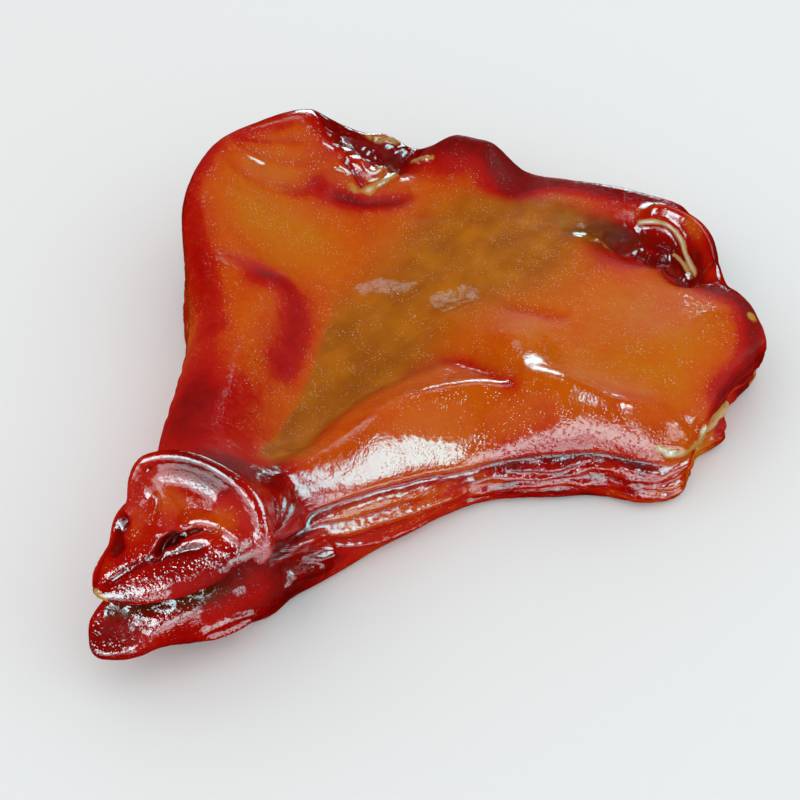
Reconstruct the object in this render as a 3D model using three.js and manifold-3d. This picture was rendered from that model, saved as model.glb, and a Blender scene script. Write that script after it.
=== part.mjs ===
// A cured pig face with its snout: boned, pressed flat, smoked and dried into one rigid slab.
// Millimetres. +Y runs from the snout to the nape, +X is to the right seen from the snout, +Z is up.
// The origin lies under the middle of the slab's box, on the surface that it rests on.
import * as THREE from "three";
import { LoftGeometry } from "three/addons/geometries/LoftGeometry.js";
import { mergeVertices } from "three/addons/utils/BufferGeometryUtils.js";
import Module from "manifold-3d";

// Driving dimensions
const NAPE_Y = 176; // back edge of the slab
const NECK_Y = -112; // front end of the slab, inside the muzzle
const NAPE_ROUND = 7; // how far the back edge is rounded off
const FRONT_ROUND = 26; // how far the slab's front end is rounded off
const END_HEIGHT = 10; // height of the line that both rounded ends close on
const END_WIDTH = 0.75; // share of its width that the slab keeps at both rounded ends
const WAIST = 0.42; // height of a section's widest line, as a share of its thickness
const PRESSED = 1.2; // how far a round underside would bulge past the flat one, as a share of its depth
const LIP_TIP_Y = -161;
const CHIN_TIP_Y = -171;
const DISC = {
  centre: [8, -117, 60],
  facing: [0.25, -0.7, 0.67],
  width: 60,
  height: 43,
  rim: 3.2,
  depth: 24,
};
const NOSTRILS = [
  { at: [-10, -14], size: [7, 4.2, 7] },
  { at: [-24.5, -13], size: [4.2, 7, 7] },
];

// Resolution
const SLAB_SECTIONS = 58;
const RING_POINTS = 48;
const SNOUT_SECTIONS = 20;
const SNOUT_POINTS = 32;

const wasm = await Module();
wasm.setup();

// A smooth function of one variable through [input, output] pairs: cubic Hermite pieces whose slope
// at each pair is that of the chord between its neighbours.
function through(pairs) {
  const slope = pairs.map((_, i) => {
    const [a, b] = [pairs[Math.max(i - 1, 0)], pairs[Math.min(i + 1, pairs.length - 1)]];
    return (b[1] - a[1]) / (b[0] - a[0]);
  });
  return (input) => {
    const t = THREE.MathUtils.clamp(input, pairs[0][0], pairs.at(-1)[0]);
    const i = Math.min(pairs.findLastIndex((p) => p[0] <= t), pairs.length - 2);
    const span = pairs[i + 1][0] - pairs[i][0];
    const s = (t - pairs[i][0]) / span;
    return (
      pairs[i][1] * (1 + 2 * s) * (1 - s) ** 2 +
      pairs[i + 1][1] * (3 - 2 * s) * s ** 2 +
      span * (slope[i] * s * (1 - s) ** 2 - slope[i + 1] * s ** 2 * (1 - s))
    );
  };
}

// Plan outline: where the left and the right side of the slab are at each y.
const leftEdge = through([
  [-112, -28], [-100, -41], [-84, -54], [-63, -65], [-44, -77], [-20, -96], [0, -116], [16, -128],
  [31, -134], [48, -138], [69, -138], [88, -134], [100, -127], [112, -116], [122, -104], [134, -84],
  [143, -68], [152, -45], [161, -27], [170, -2], [176, 16],
]);
const rightEdge = through([
  [-112, 36], [-100, 35], [-60, 46], [-33, 56], [-11, 72], [5, 90], [16, 105], [25, 119], [39, 126],
  [50, 122], [60, 119], [84, 121], [95, 125], [106, 122], [116, 118], [126, 109], [134, 98],
  [142, 85], [150, 76], [158, 71], [167, 64], [176, 42],
]);

// Thickness of the skin and meat between the rolls: an even bed that thins towards the nape.
const bed = through([[NECK_Y, 30], [-60, 26], [0, 24], [100, 23], [NAPE_Y, 20]]);

// Relief of the top: rolls and lobes stand up from the bed, and the valley and ear cuts sink into it.
// Each follows a smooth line in plan, with the height it adds and how wide it is.
const RELIEF = {
  rightCheekRoll: { line: [[15, -100], [25, -66], [33, -30], [54, 4], [110, 44]], rise: 17, width: 22 },
  leftCheekRoll: { line: [[-14, -96], [-36, -62], [-60, -30], [-86, 4], [-108, 30]], rise: 21, width: 24 },
  leftJowlLobe: { line: [[-119, 42], [-121, 74], [-108, 100]], rise: 37, width: 27 },
  rightJowlLobe: { line: [[100, 80], [103, 116]], rise: 17, width: 24 },
  browBump: { line: [[47, 34], [63, 46]], rise: 8, width: 16 },
  napeBump: { line: [[-50, 141], [-40, 144]], rise: 20, width: 12 },
  muzzleRidge: { line: [[2, -108], [-14, -82]], rise: 24, width: 26 },
  browValley: { line: [[-11, -52], [-13, -8], [-5, 40], [7, 84]], rise: -5, width: 20 },
  leftEarCut: { line: [[-80, 112], [-70, 124]], rise: -10, width: 14 },
  rightEarCut: { line: [[48, 134], [68, 138]], rise: -9, width: 15 },
};

// The short straight lines that a smooth line through the given plan points is made of.
function planLines(points) {
  const smooth = new THREE.CatmullRomCurve3(points.map(([x, y]) => new THREE.Vector3(x, y, 0))).getPoints(24);
  return smooth.slice(1).map((end, i) => new THREE.Line3(smooth[i], end));
}

const FORMS = Object.values(RELIEF).map(({ line, rise, width }) => ({ lines: planLines(line), rise, width }));

// Height of the slab's top above its rest surface: the bed and, from each form, its rise times the
// bell curve of the distance to its line.
function topHeight(x, y) {
  const here = new THREE.Vector3(x, y, 0);
  const nearest = new THREE.Vector3();
  return FORMS.reduce((height, { lines, rise, width }) => {
    const away = Math.min(...lines.map((l) => l.closestPointToPoint(here, true, nearest).distanceTo(here)));
    return height + rise * Math.exp(-((away / width) ** 2));
  }, bed(y));
}

// A closed section in the plane of one y: a flattened round, widest at its waist, whose underside is
// pressed flat on the foot's height. A smaller squareness makes top and sides flatter. Points run
// anticlockwise seen from the nape, looking to the snout.
function section(y, { left, right, top, foot, count, squareness }) {
  const [middle, half] = [(left + right) / 2, (right - left) / 2];
  return Array.from({ length: count }, (_, i) => {
    const angle = (-2 * Math.PI * i) / count;
    const across = Math.sign(Math.cos(angle)) * Math.abs(Math.cos(angle)) ** squareness;
    const up = Math.sign(Math.sin(angle)) * Math.abs(Math.sin(angle)) ** squareness;
    const x = middle + half * across;
    const crown = top(x, y);
    const waist = foot + (crown - foot) * WAIST;
    const under = Math.max(waist + (waist - foot) * PRESSED * up, foot);
    return new THREE.Vector3(x, y, up > 0 ? waist + (crown - waist) * up : under);
  });
}

// How much of its thickness an end keeps at a distance in from it: a quarter round over the given depth.
const rounded = (inward, depth) => Math.sqrt(1 - (1 - THREE.MathUtils.clamp(inward / depth, 0.02, 1)) ** 2);

// The slab: sections from the neck to the nape, with both ends rounded off.
function slab() {
  const sections = [];
  for (let i = 0; i <= SLAB_SECTIONS; i++) {
    const t = i / SLAB_SECTIONS;
    const y = NECK_Y + (NAPE_Y - NECK_Y) * (t + 0.12 * Math.sin(2 * Math.PI * t) / Math.PI);
    const keep = rounded(NAPE_Y - y, NAPE_ROUND) * rounded(y - NECK_Y, FRONT_ROUND);
    const [left, right] = [leftEdge(y), rightEdge(y)];
    const middle = (left + right) / 2;
    const narrow = END_WIDTH + (1 - END_WIDTH) * keep;
    sections.push(
      section(y, {
        left: middle + (left - middle) * narrow,
        right: middle + (right - middle) * narrow,
        top: (x, sectionY) => END_HEIGHT + (topHeight(x, sectionY) - END_HEIGHT) * keep,
        foot: END_HEIGHT * (1 - keep),
        count: RING_POINTS,
        squareness: 0.5,
      }),
    );
  }
  return solidOf(new LoftGeometry(sections, { capStart: true, capEnd: true }));
}

// One lip of the muzzle: ellipse sections whose middle, half width, underside and top are functions of y.
function lip(tipY, rootY, { middle, half, low, high }) {
  const sections = [];
  for (let i = 0; i <= SNOUT_SECTIONS; i++) {
    const y = tipY + (rootY - tipY) * (i / SNOUT_SECTIONS) ** 1.4;
    sections.push(
      section(y, {
        left: middle(y) - half(y),
        right: middle(y) + half(y),
        top: () => high(y),
        foot: low(y),
        count: SNOUT_POINTS,
        squareness: 0.8,
      }),
    );
  }
  return solidOf(new LoftGeometry(sections, { capStart: true, capEnd: true }));
}

const upperLip = () =>
  lip(LIP_TIP_Y, -70, {
    middle: through([[LIP_TIP_Y, -8], [-148, -3], [-134, 3], [-112, 6], [-90, -2], [-70, -7]]),
    half: through([[LIP_TIP_Y, 3], [-157, 10], [-148, 17], [-134, 23], [-112, 27], [-90, 33], [-70, 35]]),
    low: through([[LIP_TIP_Y, 37], [-148, 33], [-134, 32], [-112, 30], [-90, 22], [-70, 14]]),
    high: through([[LIP_TIP_Y, 43], [-148, 47], [-134, 50], [-112, 58], [-90, 55], [-70, 44]]),
  });

const lowerLip = () =>
  lip(CHIN_TIP_Y, -70, {
    middle: through([[CHIN_TIP_Y, -3], [-150, 2], [-134, 8], [-112, 6], [-90, -2], [-70, -7]]),
    half: through([[CHIN_TIP_Y, 2.5], [-165, 10], [-150, 15], [-134, 19], [-112, 27], [-90, 35], [-70, 42]]),
    low: through([[CHIN_TIP_Y, 17], [-150, 11], [-134, 8], [-112, 5], [-90, 2], [-70, 1]]),
    high: through([[CHIN_TIP_Y, 23], [-150, 29], [-134, 30], [-112, 32], [-90, 34], [-70, 30]]),
  });

// Turns and moves what is modelled with the disc's face along +Z, its width along X, into place.
function discPlacement() {
  const facing = new THREE.Vector3(...DISC.facing).normalize();
  const across = new THREE.Vector3(0, 0, 1).cross(facing).normalize();
  const upward = new THREE.Vector3().crossVectors(facing, across);
  return new THREE.Matrix4()
    .makeBasis(across, upward, facing)
    .setPosition(new THREE.Vector3(...DISC.centre));
}

// The snout disc: a shallow dish with a rolled rim, turned about its own axis and drawn out to an oval.
function snoutDisc() {
  const radius = DISC.width / 2;
  const profile = [new THREE.Vector2(0, -DISC.depth), new THREE.Vector2(radius * 0.62, -DISC.depth)];
  for (let i = 0; i <= 8; i++) {
    const angle = -Math.PI / 2 + (Math.PI * 1.15 * i) / 8;
    profile.push(
      new THREE.Vector2(radius - DISC.rim + DISC.rim * Math.cos(angle), DISC.rim * Math.sin(angle)),
    );
  }
  profile.push(new THREE.Vector2(radius * 0.6, -DISC.rim * 0.2), new THREE.Vector2(0, -DISC.rim * 0.1));
  return solidOf(
    new THREE.LatheGeometry(profile, 40)
      .rotateX(Math.PI / 2)
      .scale(1, DISC.height / DISC.width, 1)
      .applyMatrix4(discPlacement()),
  );
}

// The hollow of one nostril: an ellipsoid sunk into the disc's face.
function nostril({ at, size }) {
  return solidOf(
    new THREE.SphereGeometry(1, 18, 12)
      .scale(...size)
      .translate(at[0], at[1], 0)
      .applyMatrix4(discPlacement()),
  );
}

// A closed three.js geometry as a solid that can be joined and cut.
function solidOf(geometry) {
  const bare = new THREE.BufferGeometry()
    .setAttribute("position", geometry.getAttribute("position"))
    .setIndex(geometry.getIndex());
  const merged = mergeVertices(bare, 1e-3);
  const solid = new wasm.Manifold(
    new wasm.Mesh({
      numProp: 3,
      vertProperties: new Float32Array(merged.attributes.position.array),
      triVerts: new Uint32Array(merged.index.array),
    }),
  );
  if (solid.volume() < 0) throw new Error("a surface faces inwards");
  return solid;
}

// A solid as a three.js geometry, with the origin under the middle of its box.
function geometryOf(solid) {
  const { vertProperties, triVerts } = solid.getMesh();
  const geometry = new THREE.BufferGeometry();
  geometry.setAttribute("position", new THREE.BufferAttribute(new Float32Array(vertProperties), 3));
  geometry.setIndex(new THREE.BufferAttribute(new Uint32Array(triVerts), 1));
  geometry.computeVertexNormals();
  geometry.computeBoundingBox();
  const middle = geometry.boundingBox.getCenter(new THREE.Vector3());
  return geometry.translate(-middle.x, -middle.y, -geometry.boundingBox.min.z);
}

const whole = [upperLip(), lowerLip(), snoutDisc()].reduce((joined, piece) => joined.add(piece), slab());
const cut = NOSTRILS.map(nostril).reduce((rest, hollow) => rest.subtract(hollow), whole);

const pigSnout = new THREE.Mesh(
  geometryOf(cut),
  new THREE.MeshStandardMaterial({ color: 0xb4480c, roughness: 0.32, metalness: 0 }),
);
pigSnout.name = "pig_snout";

const curedPigSnout = new THREE.Group();
curedPigSnout.add(pigSnout);

export default curedPigSnout;
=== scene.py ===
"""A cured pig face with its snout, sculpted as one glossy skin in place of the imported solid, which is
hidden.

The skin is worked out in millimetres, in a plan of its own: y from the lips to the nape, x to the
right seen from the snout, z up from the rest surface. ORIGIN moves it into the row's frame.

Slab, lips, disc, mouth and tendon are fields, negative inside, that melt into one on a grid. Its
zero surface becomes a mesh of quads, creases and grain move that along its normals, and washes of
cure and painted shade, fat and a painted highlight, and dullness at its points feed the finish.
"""

import logging
import math
from dataclasses import dataclass
from enum import Enum
from typing import Any, ClassVar, Sequence

import bpy
import numpy as np
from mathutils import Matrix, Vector


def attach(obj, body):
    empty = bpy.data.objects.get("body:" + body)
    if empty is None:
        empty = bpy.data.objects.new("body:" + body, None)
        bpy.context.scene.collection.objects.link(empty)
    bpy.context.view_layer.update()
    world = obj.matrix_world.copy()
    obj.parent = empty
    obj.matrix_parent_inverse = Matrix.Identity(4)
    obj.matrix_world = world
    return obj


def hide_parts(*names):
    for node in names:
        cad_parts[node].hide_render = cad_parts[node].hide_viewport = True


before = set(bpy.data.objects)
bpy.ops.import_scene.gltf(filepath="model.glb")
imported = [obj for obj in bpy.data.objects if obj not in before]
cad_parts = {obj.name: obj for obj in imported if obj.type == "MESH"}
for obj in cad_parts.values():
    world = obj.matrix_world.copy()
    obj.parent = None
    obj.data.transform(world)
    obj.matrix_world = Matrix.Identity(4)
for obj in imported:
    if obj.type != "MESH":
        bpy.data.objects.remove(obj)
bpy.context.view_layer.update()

Array = np.ndarray
Point = tuple[float, ...]

LOG = logging.getLogger("cured_face")
NODE = "pig_snout"
MM = 0.001
FAR = 20.0  # a field's value well outside a shape, in mm
ORIGIN = np.array([6.5, -2.5, 0.0])  # the sculpt's own origin, in the row's frame, in mm

# odd factors that scramble a lattice cell's place and a seed into one random number
CELL_FACTORS = (73856093, 19349663, 83492791)
SEED_FACTOR = 2654435
LAST_FACTOR = 1274126177
LOW_BITS = 0xFFFF


# ---------------------------------------------------------------- soft shapes as whole arrays


def bell(distance: Array, width: float | Array) -> Array:
    """The bell curve: e to the power of minus (distance / width) squared."""
    return np.exp(-np.square(distance / width))


def smooth_step(low: float, high: float, value: Array) -> Array:
    """3t^2 - 2t^3, where t runs from 0 at low to 1 at high."""
    t = np.clip((value - low) / (high - low), 0.0, 1.0)
    return t * t * (3.0 - 2.0 * t)


def union(a: Array, b: Array, fillet: float | Array) -> Array:
    """The smaller of two fields, with the corner between them filled over the fillet's width.

    Args:
        a: first field, negative inside.
        b: second field, negative inside.
        fillet: how far apart the fields may be and still melt together, in mm.

    Returns:
        b + (a - b) h - fillet h (1 - h), where h runs from 0 to 1 as b - a crosses the fillet.
    """
    h = np.clip(0.5 + 0.5 * (b - a) / fillet, 0.0, 1.0)
    return b + (a - b) * h - fillet * h * (1.0 - h)


def overlap(a: Array, b: Array, fillet: float | Array) -> Array:
    """The larger of two fields with its corner rounded off: the mirror image of union."""
    return -union(-a, -b, fillet)


def smooth_line(points: Sequence[Point], per_span: int = 6) -> Array:
    """A Catmull-Rom curve: each span is the cubic whose end slopes are those of the outer chords.

    Args:
        points: the points that the line passes through, in two or three dimensions.
        per_span: straight pieces to a span.

    Returns:
        The line's corners, one to a row.
    """
    p = np.asarray(points, float)
    ends = np.vstack([2 * p[0] - p[1], p, 2 * p[-1] - p[-2]])
    t = np.linspace(0.0, 1.0, per_span, endpoint=False)[:, None]
    spans = []
    for a, b, c, d in zip(ends[:-3], ends[1:-2], ends[2:-1], ends[3:]):
        bend = 2 * a - 5 * b + 4 * c - d
        twist = 3 * b - a - 3 * c + d
        spans.append(0.5 * (2 * b + (c - a) * t + bend * t**2 + twist * t**3))
    return np.vstack([*spans, p[-1:]])


def nearest(points: Array, line: Array) -> tuple[Array, Array, Array]:
    """Where each point stands against a line of straight pieces.

    Args:
        points: an array whose last axis holds the coordinates.
        line: the line's corners, one to a row.

    Returns:
        The distance to the line, the share of its length at the nearest place, and in plan the side:
        the sine of the angle at which the point stands off the line, 1 square to its left, -1 square
        to its right, 0 beyond its ends and in three dimensions.
    """
    steps = np.linalg.norm(np.diff(line, axis=0), axis=1)
    along = np.concatenate([[0.0], np.cumsum(steps)]) / steps.sum()
    best = np.full(points.shape[:-1], np.inf)
    share = np.zeros_like(best)
    side = np.zeros_like(best)
    for start, end, s0, s1 in zip(line[:-1], line[1:], along[:-1], along[1:]):
        way = end - start
        away = points - start
        t = np.clip((away @ way) / (way @ way), 0.0, 1.0)
        square = np.square(away - t[..., None] * way).sum(-1)
        closer = square < best
        best = np.where(closer, square, best)
        share = np.where(closer, s0 + (s1 - s0) * t, share)
        if line.shape[1] == 2:
            off = (way[0] * away[..., 1] - way[1] * away[..., 0]) / np.linalg.norm(way)
            side = np.where(closer, off, side)
    distance = np.sqrt(best)
    return distance, share, side / np.maximum(distance, 1e-6)


def lattice_noise(points: Array, size: float, seed: int) -> Array:
    """Smooth noise from -1 to 1: random values on a cubic lattice, blended by smooth steps.

    Args:
        points: coordinates on the last axis, three of them, in mm.
        size: the lattice's pitch in mm.
        seed: picks another pattern of the same kind.

    Returns:
        One value for each point.
    """
    scaled = points / size + 100.0 + 7.31 * seed  # the offset keeps every cell's number positive
    cell = np.floor(scaled).astype(np.int64)
    t = smooth_step(0.0, 1.0, scaled - cell)
    blend = np.zeros(points.shape[:-1])
    for corner in np.ndindex(2, 2, 2):
        at = (cell + corner).astype(np.uint64)
        mixed = np.uint64(seed * SEED_FACTOR)
        for k, factor in enumerate(CELL_FACTORS):
            mixed = mixed ^ at[..., k] * np.uint64(factor)
        mixed = (mixed ^ (mixed >> np.uint64(13))) * np.uint64(LAST_FACTOR)
        value = ((mixed ^ (mixed >> np.uint64(16))) & np.uint64(LOW_BITS)) / (LOW_BITS / 2) - 1.0
        weight = np.prod(np.where(np.array(corner) == 1, t, 1.0 - t), axis=-1)
        blend += weight * value
    return blend


@dataclass(frozen=True)
class Stations:
    """A smooth function of one variable: cubic Hermite pieces through (input, output) pairs."""

    pairs: tuple[Point, ...]

    def __call__(self, value: Array) -> Array:
        """The function's value at each input, held level past both ends.

        Args:
            value: the inputs, an array of any shape.

        Returns:
            The cubic of each input's span, whose end slopes are those of the neighbouring chords.
        """
        x, y = np.asarray(self.pairs, float).T
        slope = np.gradient(y, x)
        t = np.clip(value, x[0], x[-1])
        i = np.clip(np.searchsorted(x, t, side="right") - 1, 0, len(x) - 2)
        span = x[i + 1] - x[i]
        s = (t - x[i]) / span
        rise = y[i] * (1 + 2 * s) * (1 - s) ** 2 + y[i + 1] * (3 - 2 * s) * s**2
        return rise + span * (slope[i] * s * (1 - s) ** 2 - slope[i + 1] * s**2 * (1 - s))


class Profile(Enum):
    """How a form's height falls off across its line."""

    ROLL = "roll"  # a bell curve
    BAND = "band"  # a flat top with steep sides, e to the power of minus (distance / width)^4


@dataclass(frozen=True)
class Form:
    """A fold, roll, crease or stroke of colour that follows a line over the skin."""

    line: tuple[Point, ...]
    rise: float  # height on the line in mm, or a stroke's strength
    width: float  # distance at which the bell has fallen to about a third, in mm
    profile: Profile = Profile.ROLL
    taper: float = 0.0  # share of the line's length over which both ends fade out
    far_width: float | None = None  # width on the line's right side, where it differs
    reach: ClassVar[float] = 3.2  # widths from the line beyond which a loose point gets nothing

    def height(self, points: Array) -> Array:
        """The height that the form adds at each point.

        Args:
            points: plan or space coordinates on the last axis, as many as the line has.

        Returns:
            rise times the profile of distance over width, times a smooth fade at the line's ends.
        """
        line = smooth_line(self.line)
        if points.ndim > 2:  # a whole grid
            return self.fall(points, line)
        margin = self.reach * max(self.width, self.far_width or 0.0)
        near = np.all((points > line.min(0) - margin) & (points < line.max(0) + margin), axis=1)
        heights = np.zeros(len(points))
        heights[near] = self.fall(points[near], line)
        return heights

    def fall(self, points: Array, line: Array) -> Array:
        """The height at each point, without looking whether it is near.

        Args:
            points: coordinates on the last axis, as many as the line has.
            line: the form's line, smoothed.

        Returns:
            rise times profile times fade, as height has it.
        """
        distance, share, side = nearest(points, line)
        far = self.far_width or self.width
        width = self.width + (far - self.width) * smooth_step(0.5, -0.5, side)
        if self.profile is Profile.BAND:
            shape = np.exp(-((distance / width) ** 4))
        else:
            shape = bell(distance, width)
        if self.taper:
            shape = shape * smooth_step(0.0, self.taper, share)
            shape = shape * smooth_step(0.0, self.taper, 1.0 - share)
        return self.rise * shape


def total(forms: Sequence[Form], points: Array) -> Array:
    """The sum of the forms' heights; a line drawn in plan reads the points' x and y alone."""
    return sum(form.height(points[:, : len(form.line[0])]) for form in forms)


# ---------------------------------------------------------------- the pressed slab of the face


@dataclass(frozen=True)
class Slab:
    """The boned and pressed face behind the snout: an outline in plan under a relief of rolls."""

    front: float = -118.0
    nape: float = 180.0
    outline_points: int = 73  # along each side
    flap: float = 7.5  # how far the thin flap under the tendon stands out of the right end
    lean: float = 5.0  # how far the skin's edge overhangs there
    flank_x: Point = (0.0, 30.0)  # x over which the right flank begins
    flank_y: Point = (62.0, 36.0)  # y over which it ends, towards the nape
    set_back: float = 1.5  # of the wall under the fold, everywhere
    snout_set_back: float = 6.5  # and how much more of it beside the snout
    fold_depth: float = 2.5  # how far the fold draws the wall in
    fold_half: float = 2.5  # half the height of that groove
    melt: float = 9.0  # fillet between the relief and the flank's own slope
    broad_edge: float = 15.0  # fillet between top and wall where the edge is broadest
    foot: float = 5.0  # fillet round the flat underside
    left: Stations = Stations((
        (-118, -10), (-112, -24), (-102, -36), (-86, -50), (-64, -62), (-44, -74), (-30, -85),
        (-15, -99), (0, -113), (16, -126), (31, -134), (48, -139), (60, -137), (69, -133), (88, -127),
        (100, -119), (112, -110), (122, -101), (127, -94), (133, -82), (138, -70), (142, -60),
        (146, -48), (149, -36), (153, -26), (158, -18), (163, -9), (168, 0), (173, 12), (177, 25),
        (180, 36),
    ))
    right: Stations = Stations((
        (-118, 22), (-109, 29), (-96, 31), (-88, 34), (-76, 38), (-55, 44), (-42, 49), (-28, 54),
        (-14, 61), (-4, 69), (9, 85), (22, 101), (28, 114), (33, 121), (44, 126), (54, 122), (63, 119),
        (82, 117), (96, 116), (106, 118), (116, 118), (124, 114), (131, 108), (137, 100), (142, 89),
        (148, 81), (157, 74), (166, 67), (173, 56), (180, 42),
    ))
    bed: Stations = Stations(((-118, 30), (-60, 31), (0, 29), (60, 28), (110, 26), (150, 23), (180, 21)))
    fold_level: Stations = Stations((
        (-118, 44), (-98, 34), (-87, 31.5), (-73, 32), (-59, 32), (-44, 29.5), (-29, 24.5), (-15, 19.5),
        (-1, 19.5), (14, 22), (29, 21.5), (41, 18),
    ))
    relief: tuple[Form, ...] = (
        # left cheek, right ridge, left lobe, right jowl, brow, muzzle
        Form(
            ((-14, -104), (-31, -64), (-46, -38), (-56, -14), (-64, 6), (-74, 26)),
            18, 32, taper=0.2, far_width=17,
        ),
        Form(
            ((20, -100), (16, -74), (17, -50), (27, -16), (43, 6), (74, 25), (104, 38)),
            15, 17, far_width=60,
        ),
        Form(((-113, 8), (-124, 38), (-122, 66), (-110, 90)), 33, 27, far_width=33),
        Form(((94, 84), (102, 112)), 10, 30),
        Form(((38, 46), (62, 32)), 9, 17),
        Form(((0, -108), (-8, -90)), 7, 24),
        # valley and the fold that parts it from the right ridge
        Form(((-11, -52), (-13, -8), (-7, 30)), -4, 18),
        Form(
            ((10, -70), (-3, -30), (-2, -6), (6, 14), (16, 28), (34, 28), (54, 21), (70, 14)),
            -3.5, 7, taper=0.15,
        ),
        # nape lump, cuts where the ears were, and the rolled wall behind the right one
        Form(((-58, 136), (-46, 140)), 15, 14),
        Form(((-98, 98), (-88, 106), (-80, 112)), -12, 11),
        Form(((-93, 125), (-90, 128)), 7, 7),
        Form(((36, 138), (54, 143), (68, 138)), -9, 11),
        Form(((28, 156), (42, 163), (57, 162), (69, 154), (77, 144), (80, 134)), 9, 5.5, taper=0.15),
    )

    def outline(self) -> Array:
        """The closed outline in plan: up the right side and back down the left one.

        Returns:
            Its corners, one to a row, the last one the same as the first.
        """
        y = np.linspace(self.front, self.nape, self.outline_points)
        right = np.stack([self.right(y), y], axis=-1)
        left = np.stack([self.left(y), y], axis=-1)[::-1]
        return np.vstack([right, left, right[:1]])

    def inside(self, x: Array, y: Array) -> Array:
        """How far inside the outline each plan point is.

        Args:
            x: x values, of a shape that goes with y's.
            y: y values.

        Returns:
            The distance to the outline in mm, negative outside it.
        """
        plan = np.stack(np.broadcast_arrays(x, y), axis=-1)
        distance = nearest(plan, self.outline())[0]
        within = (plan[..., 0] > self.left(y)) & (plan[..., 0] < self.right(y))
        within &= (plan[..., 1] > self.front) & (plan[..., 1] < self.nape)
        return np.where(within, distance, -distance)

    def top(self, x: Array, y: Array) -> Array:
        """Height of the top skin over the rest surface: the bed and the sum of the relief's forms."""
        plan = np.stack(np.broadcast_arrays(x, y), axis=-1)
        return self.bed(y) + sum(form.height(plan) for form in self.relief)

    def flank(self, x: Array, y: Array) -> Array:
        """1 along the right side from the snout to the jowl, fading to 0 beyond it."""
        return smooth_step(*self.flank_x, x) * smooth_step(*self.flank_y, y)

    def proud(self, x: Array, y: Array) -> Array:
        """How far the wall under the flank's fold stands inside the outline, most beside the snout."""
        beside = 1.2 + self.snout_set_back * bell(y + 85.0, 24.0)
        return self.flank(x, y) * beside + self.set_back

    def slope(self, x: Array, y: Array, depth: Array) -> Array:
        """The height to which the flank's slope lets the top skin rise.

        Args:
            x: x values, of a shape that goes with y's.
            y: y values.
            depth: how far inside the wall each place is.

        Returns:
            The fold's height plus steepness times depth, steeper under the jowl, and out of reach
            where there is no flank.
        """
        sloped = smooth_step(-14.0, 6.0, x) * smooth_step(*self.flank_y, y)
        steepness = 0.82 + 0.65 * smooth_step(55.0, 85.0, x)
        return self.fold_level(y) + 2.0 + steepness * depth + 70.0 * (1.0 - sloped)

    def wall(self, x: Array, y: Array, z: Array) -> Array:
        """How far the walls stand inside the outline at each height.

        Args:
            x: x values, shaped to go with the others.
            y: y values.
            z: heights over the rest surface.

        Returns:
            The pull at the fold between the upper roll and the layer below it, a bell curve of
            height, and the flank's set-back, less the flap and the overhang at the right end.
        """
        level = self.fold_level(y)
        flank = self.flank(x, y)
        folded = smooth_step(75.0, 45.0, y) * (0.35 + 0.65 * flank)
        groove = self.fold_depth * bell(z - level, self.fold_half)
        pull = folded * (groove + 2.0 * smooth_step(-2.0, 4.0, z - level))
        pull = pull * (1.0 - 0.85 * flank * smooth_step(0.0, 3.0, z - level))
        pull = pull + self.proud(x, y) * smooth_step(0.0, 1.0, (z - 7.0) / (level - 8.0))
        flap = self.flap * bell(y - 77.0, 13.0) * smooth_step(60.0, 90.0, x)
        end = smooth_step(98.0, 112.0, x) * smooth_step(42.0, 58.0, y) * smooth_step(128.0, 112.0, y)
        return pull - flap * smooth_step(16.0, 9.0, z) - self.lean * end * smooth_step(9.0, 24.0, z)

    def edge(self, x: Array, y: Array) -> Array:
        """How widely the top rounds over into the wall.

        Args:
            x: x values, of a shape that goes with y's.
            y: y values.

        Returns:
            The fillet in mm: broad on the left, tight along the fold and at the cuts.
        """
        right_cut = smooth_step(70.0, 95.0, x) * smooth_step(45.0, 75.0, y)
        cut = np.maximum(smooth_step(120.0, 145.0, y), right_cut)
        return self.broad_edge - np.maximum(7.0 * self.flank(x, y), 11.0 * cut)

    def field(self, x: Array, y: Array, z: Array) -> Array:
        """The slab's field on a grid, negative inside.

        The top skin's own field is height over its slope, the walls' is the distance to the outline.
        Both meet in a wide round edge, and the flat underside in a narrow one.

        Args:
            x: the grid's x values.
            y: the grid's y values.
            z: the grid's z values.

        Returns:
            One value for each node of the grid.
        """
        plan = x[:, None], y[None, :]
        depth = self.inside(*plan)
        top = union(self.top(*plan), self.slope(*plan, depth - self.proud(*plan)), self.melt)
        steep = np.hypot(*np.gradient(top, x, y))
        roof = (z - top[..., None]) / np.sqrt(1.0 + steep**2)[..., None]
        wall = self.wall(x[:, None, None], y[None, :, None], z)
        body = overlap(roof, wall - depth[..., None], self.edge(*plan)[..., None])
        return overlap(body, -z * np.ones_like(body), self.foot)


# ---------------------------------------------------------------- the snout


@dataclass(frozen=True)
class Lip:
    """A lip of the muzzle: flattened rounds strung along y, from the tip back into the face."""

    middle: Stations  # x of its middle, by y
    half: Stations  # its half width
    low: Stations  # heights of its underside
    high: Stations  # and of its top
    tip: float  # y of its front end
    squareness: ClassVar[float] = 2.4  # 2 would be an ellipse

    def field(self, x: Array, y: Array, z: Array) -> Array:
        """The lip's field, negative inside.

        Args:
            x: x values, shaped to go with the others.
            y: y values, along which the lip's middle, half width and thickness change.
            z: heights over the rest surface.

        Returns:
            The flattened round's reduced radius less one, times its half thickness, cut off at the
            tip with a rounded edge.
        """
        centre = (self.low(y) + self.high(y)) / 2
        thick = (self.high(y) - self.low(y)) / 2
        across = np.abs(x - self.middle(y)) / self.half(y)
        up = np.abs(z - centre) / thick
        reduced = np.power(across**self.squareness + up**self.squareness, 1 / self.squareness)
        return overlap((reduced - 1.0) * np.minimum(thick, self.half(y)), self.tip - y, 2.0)


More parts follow.
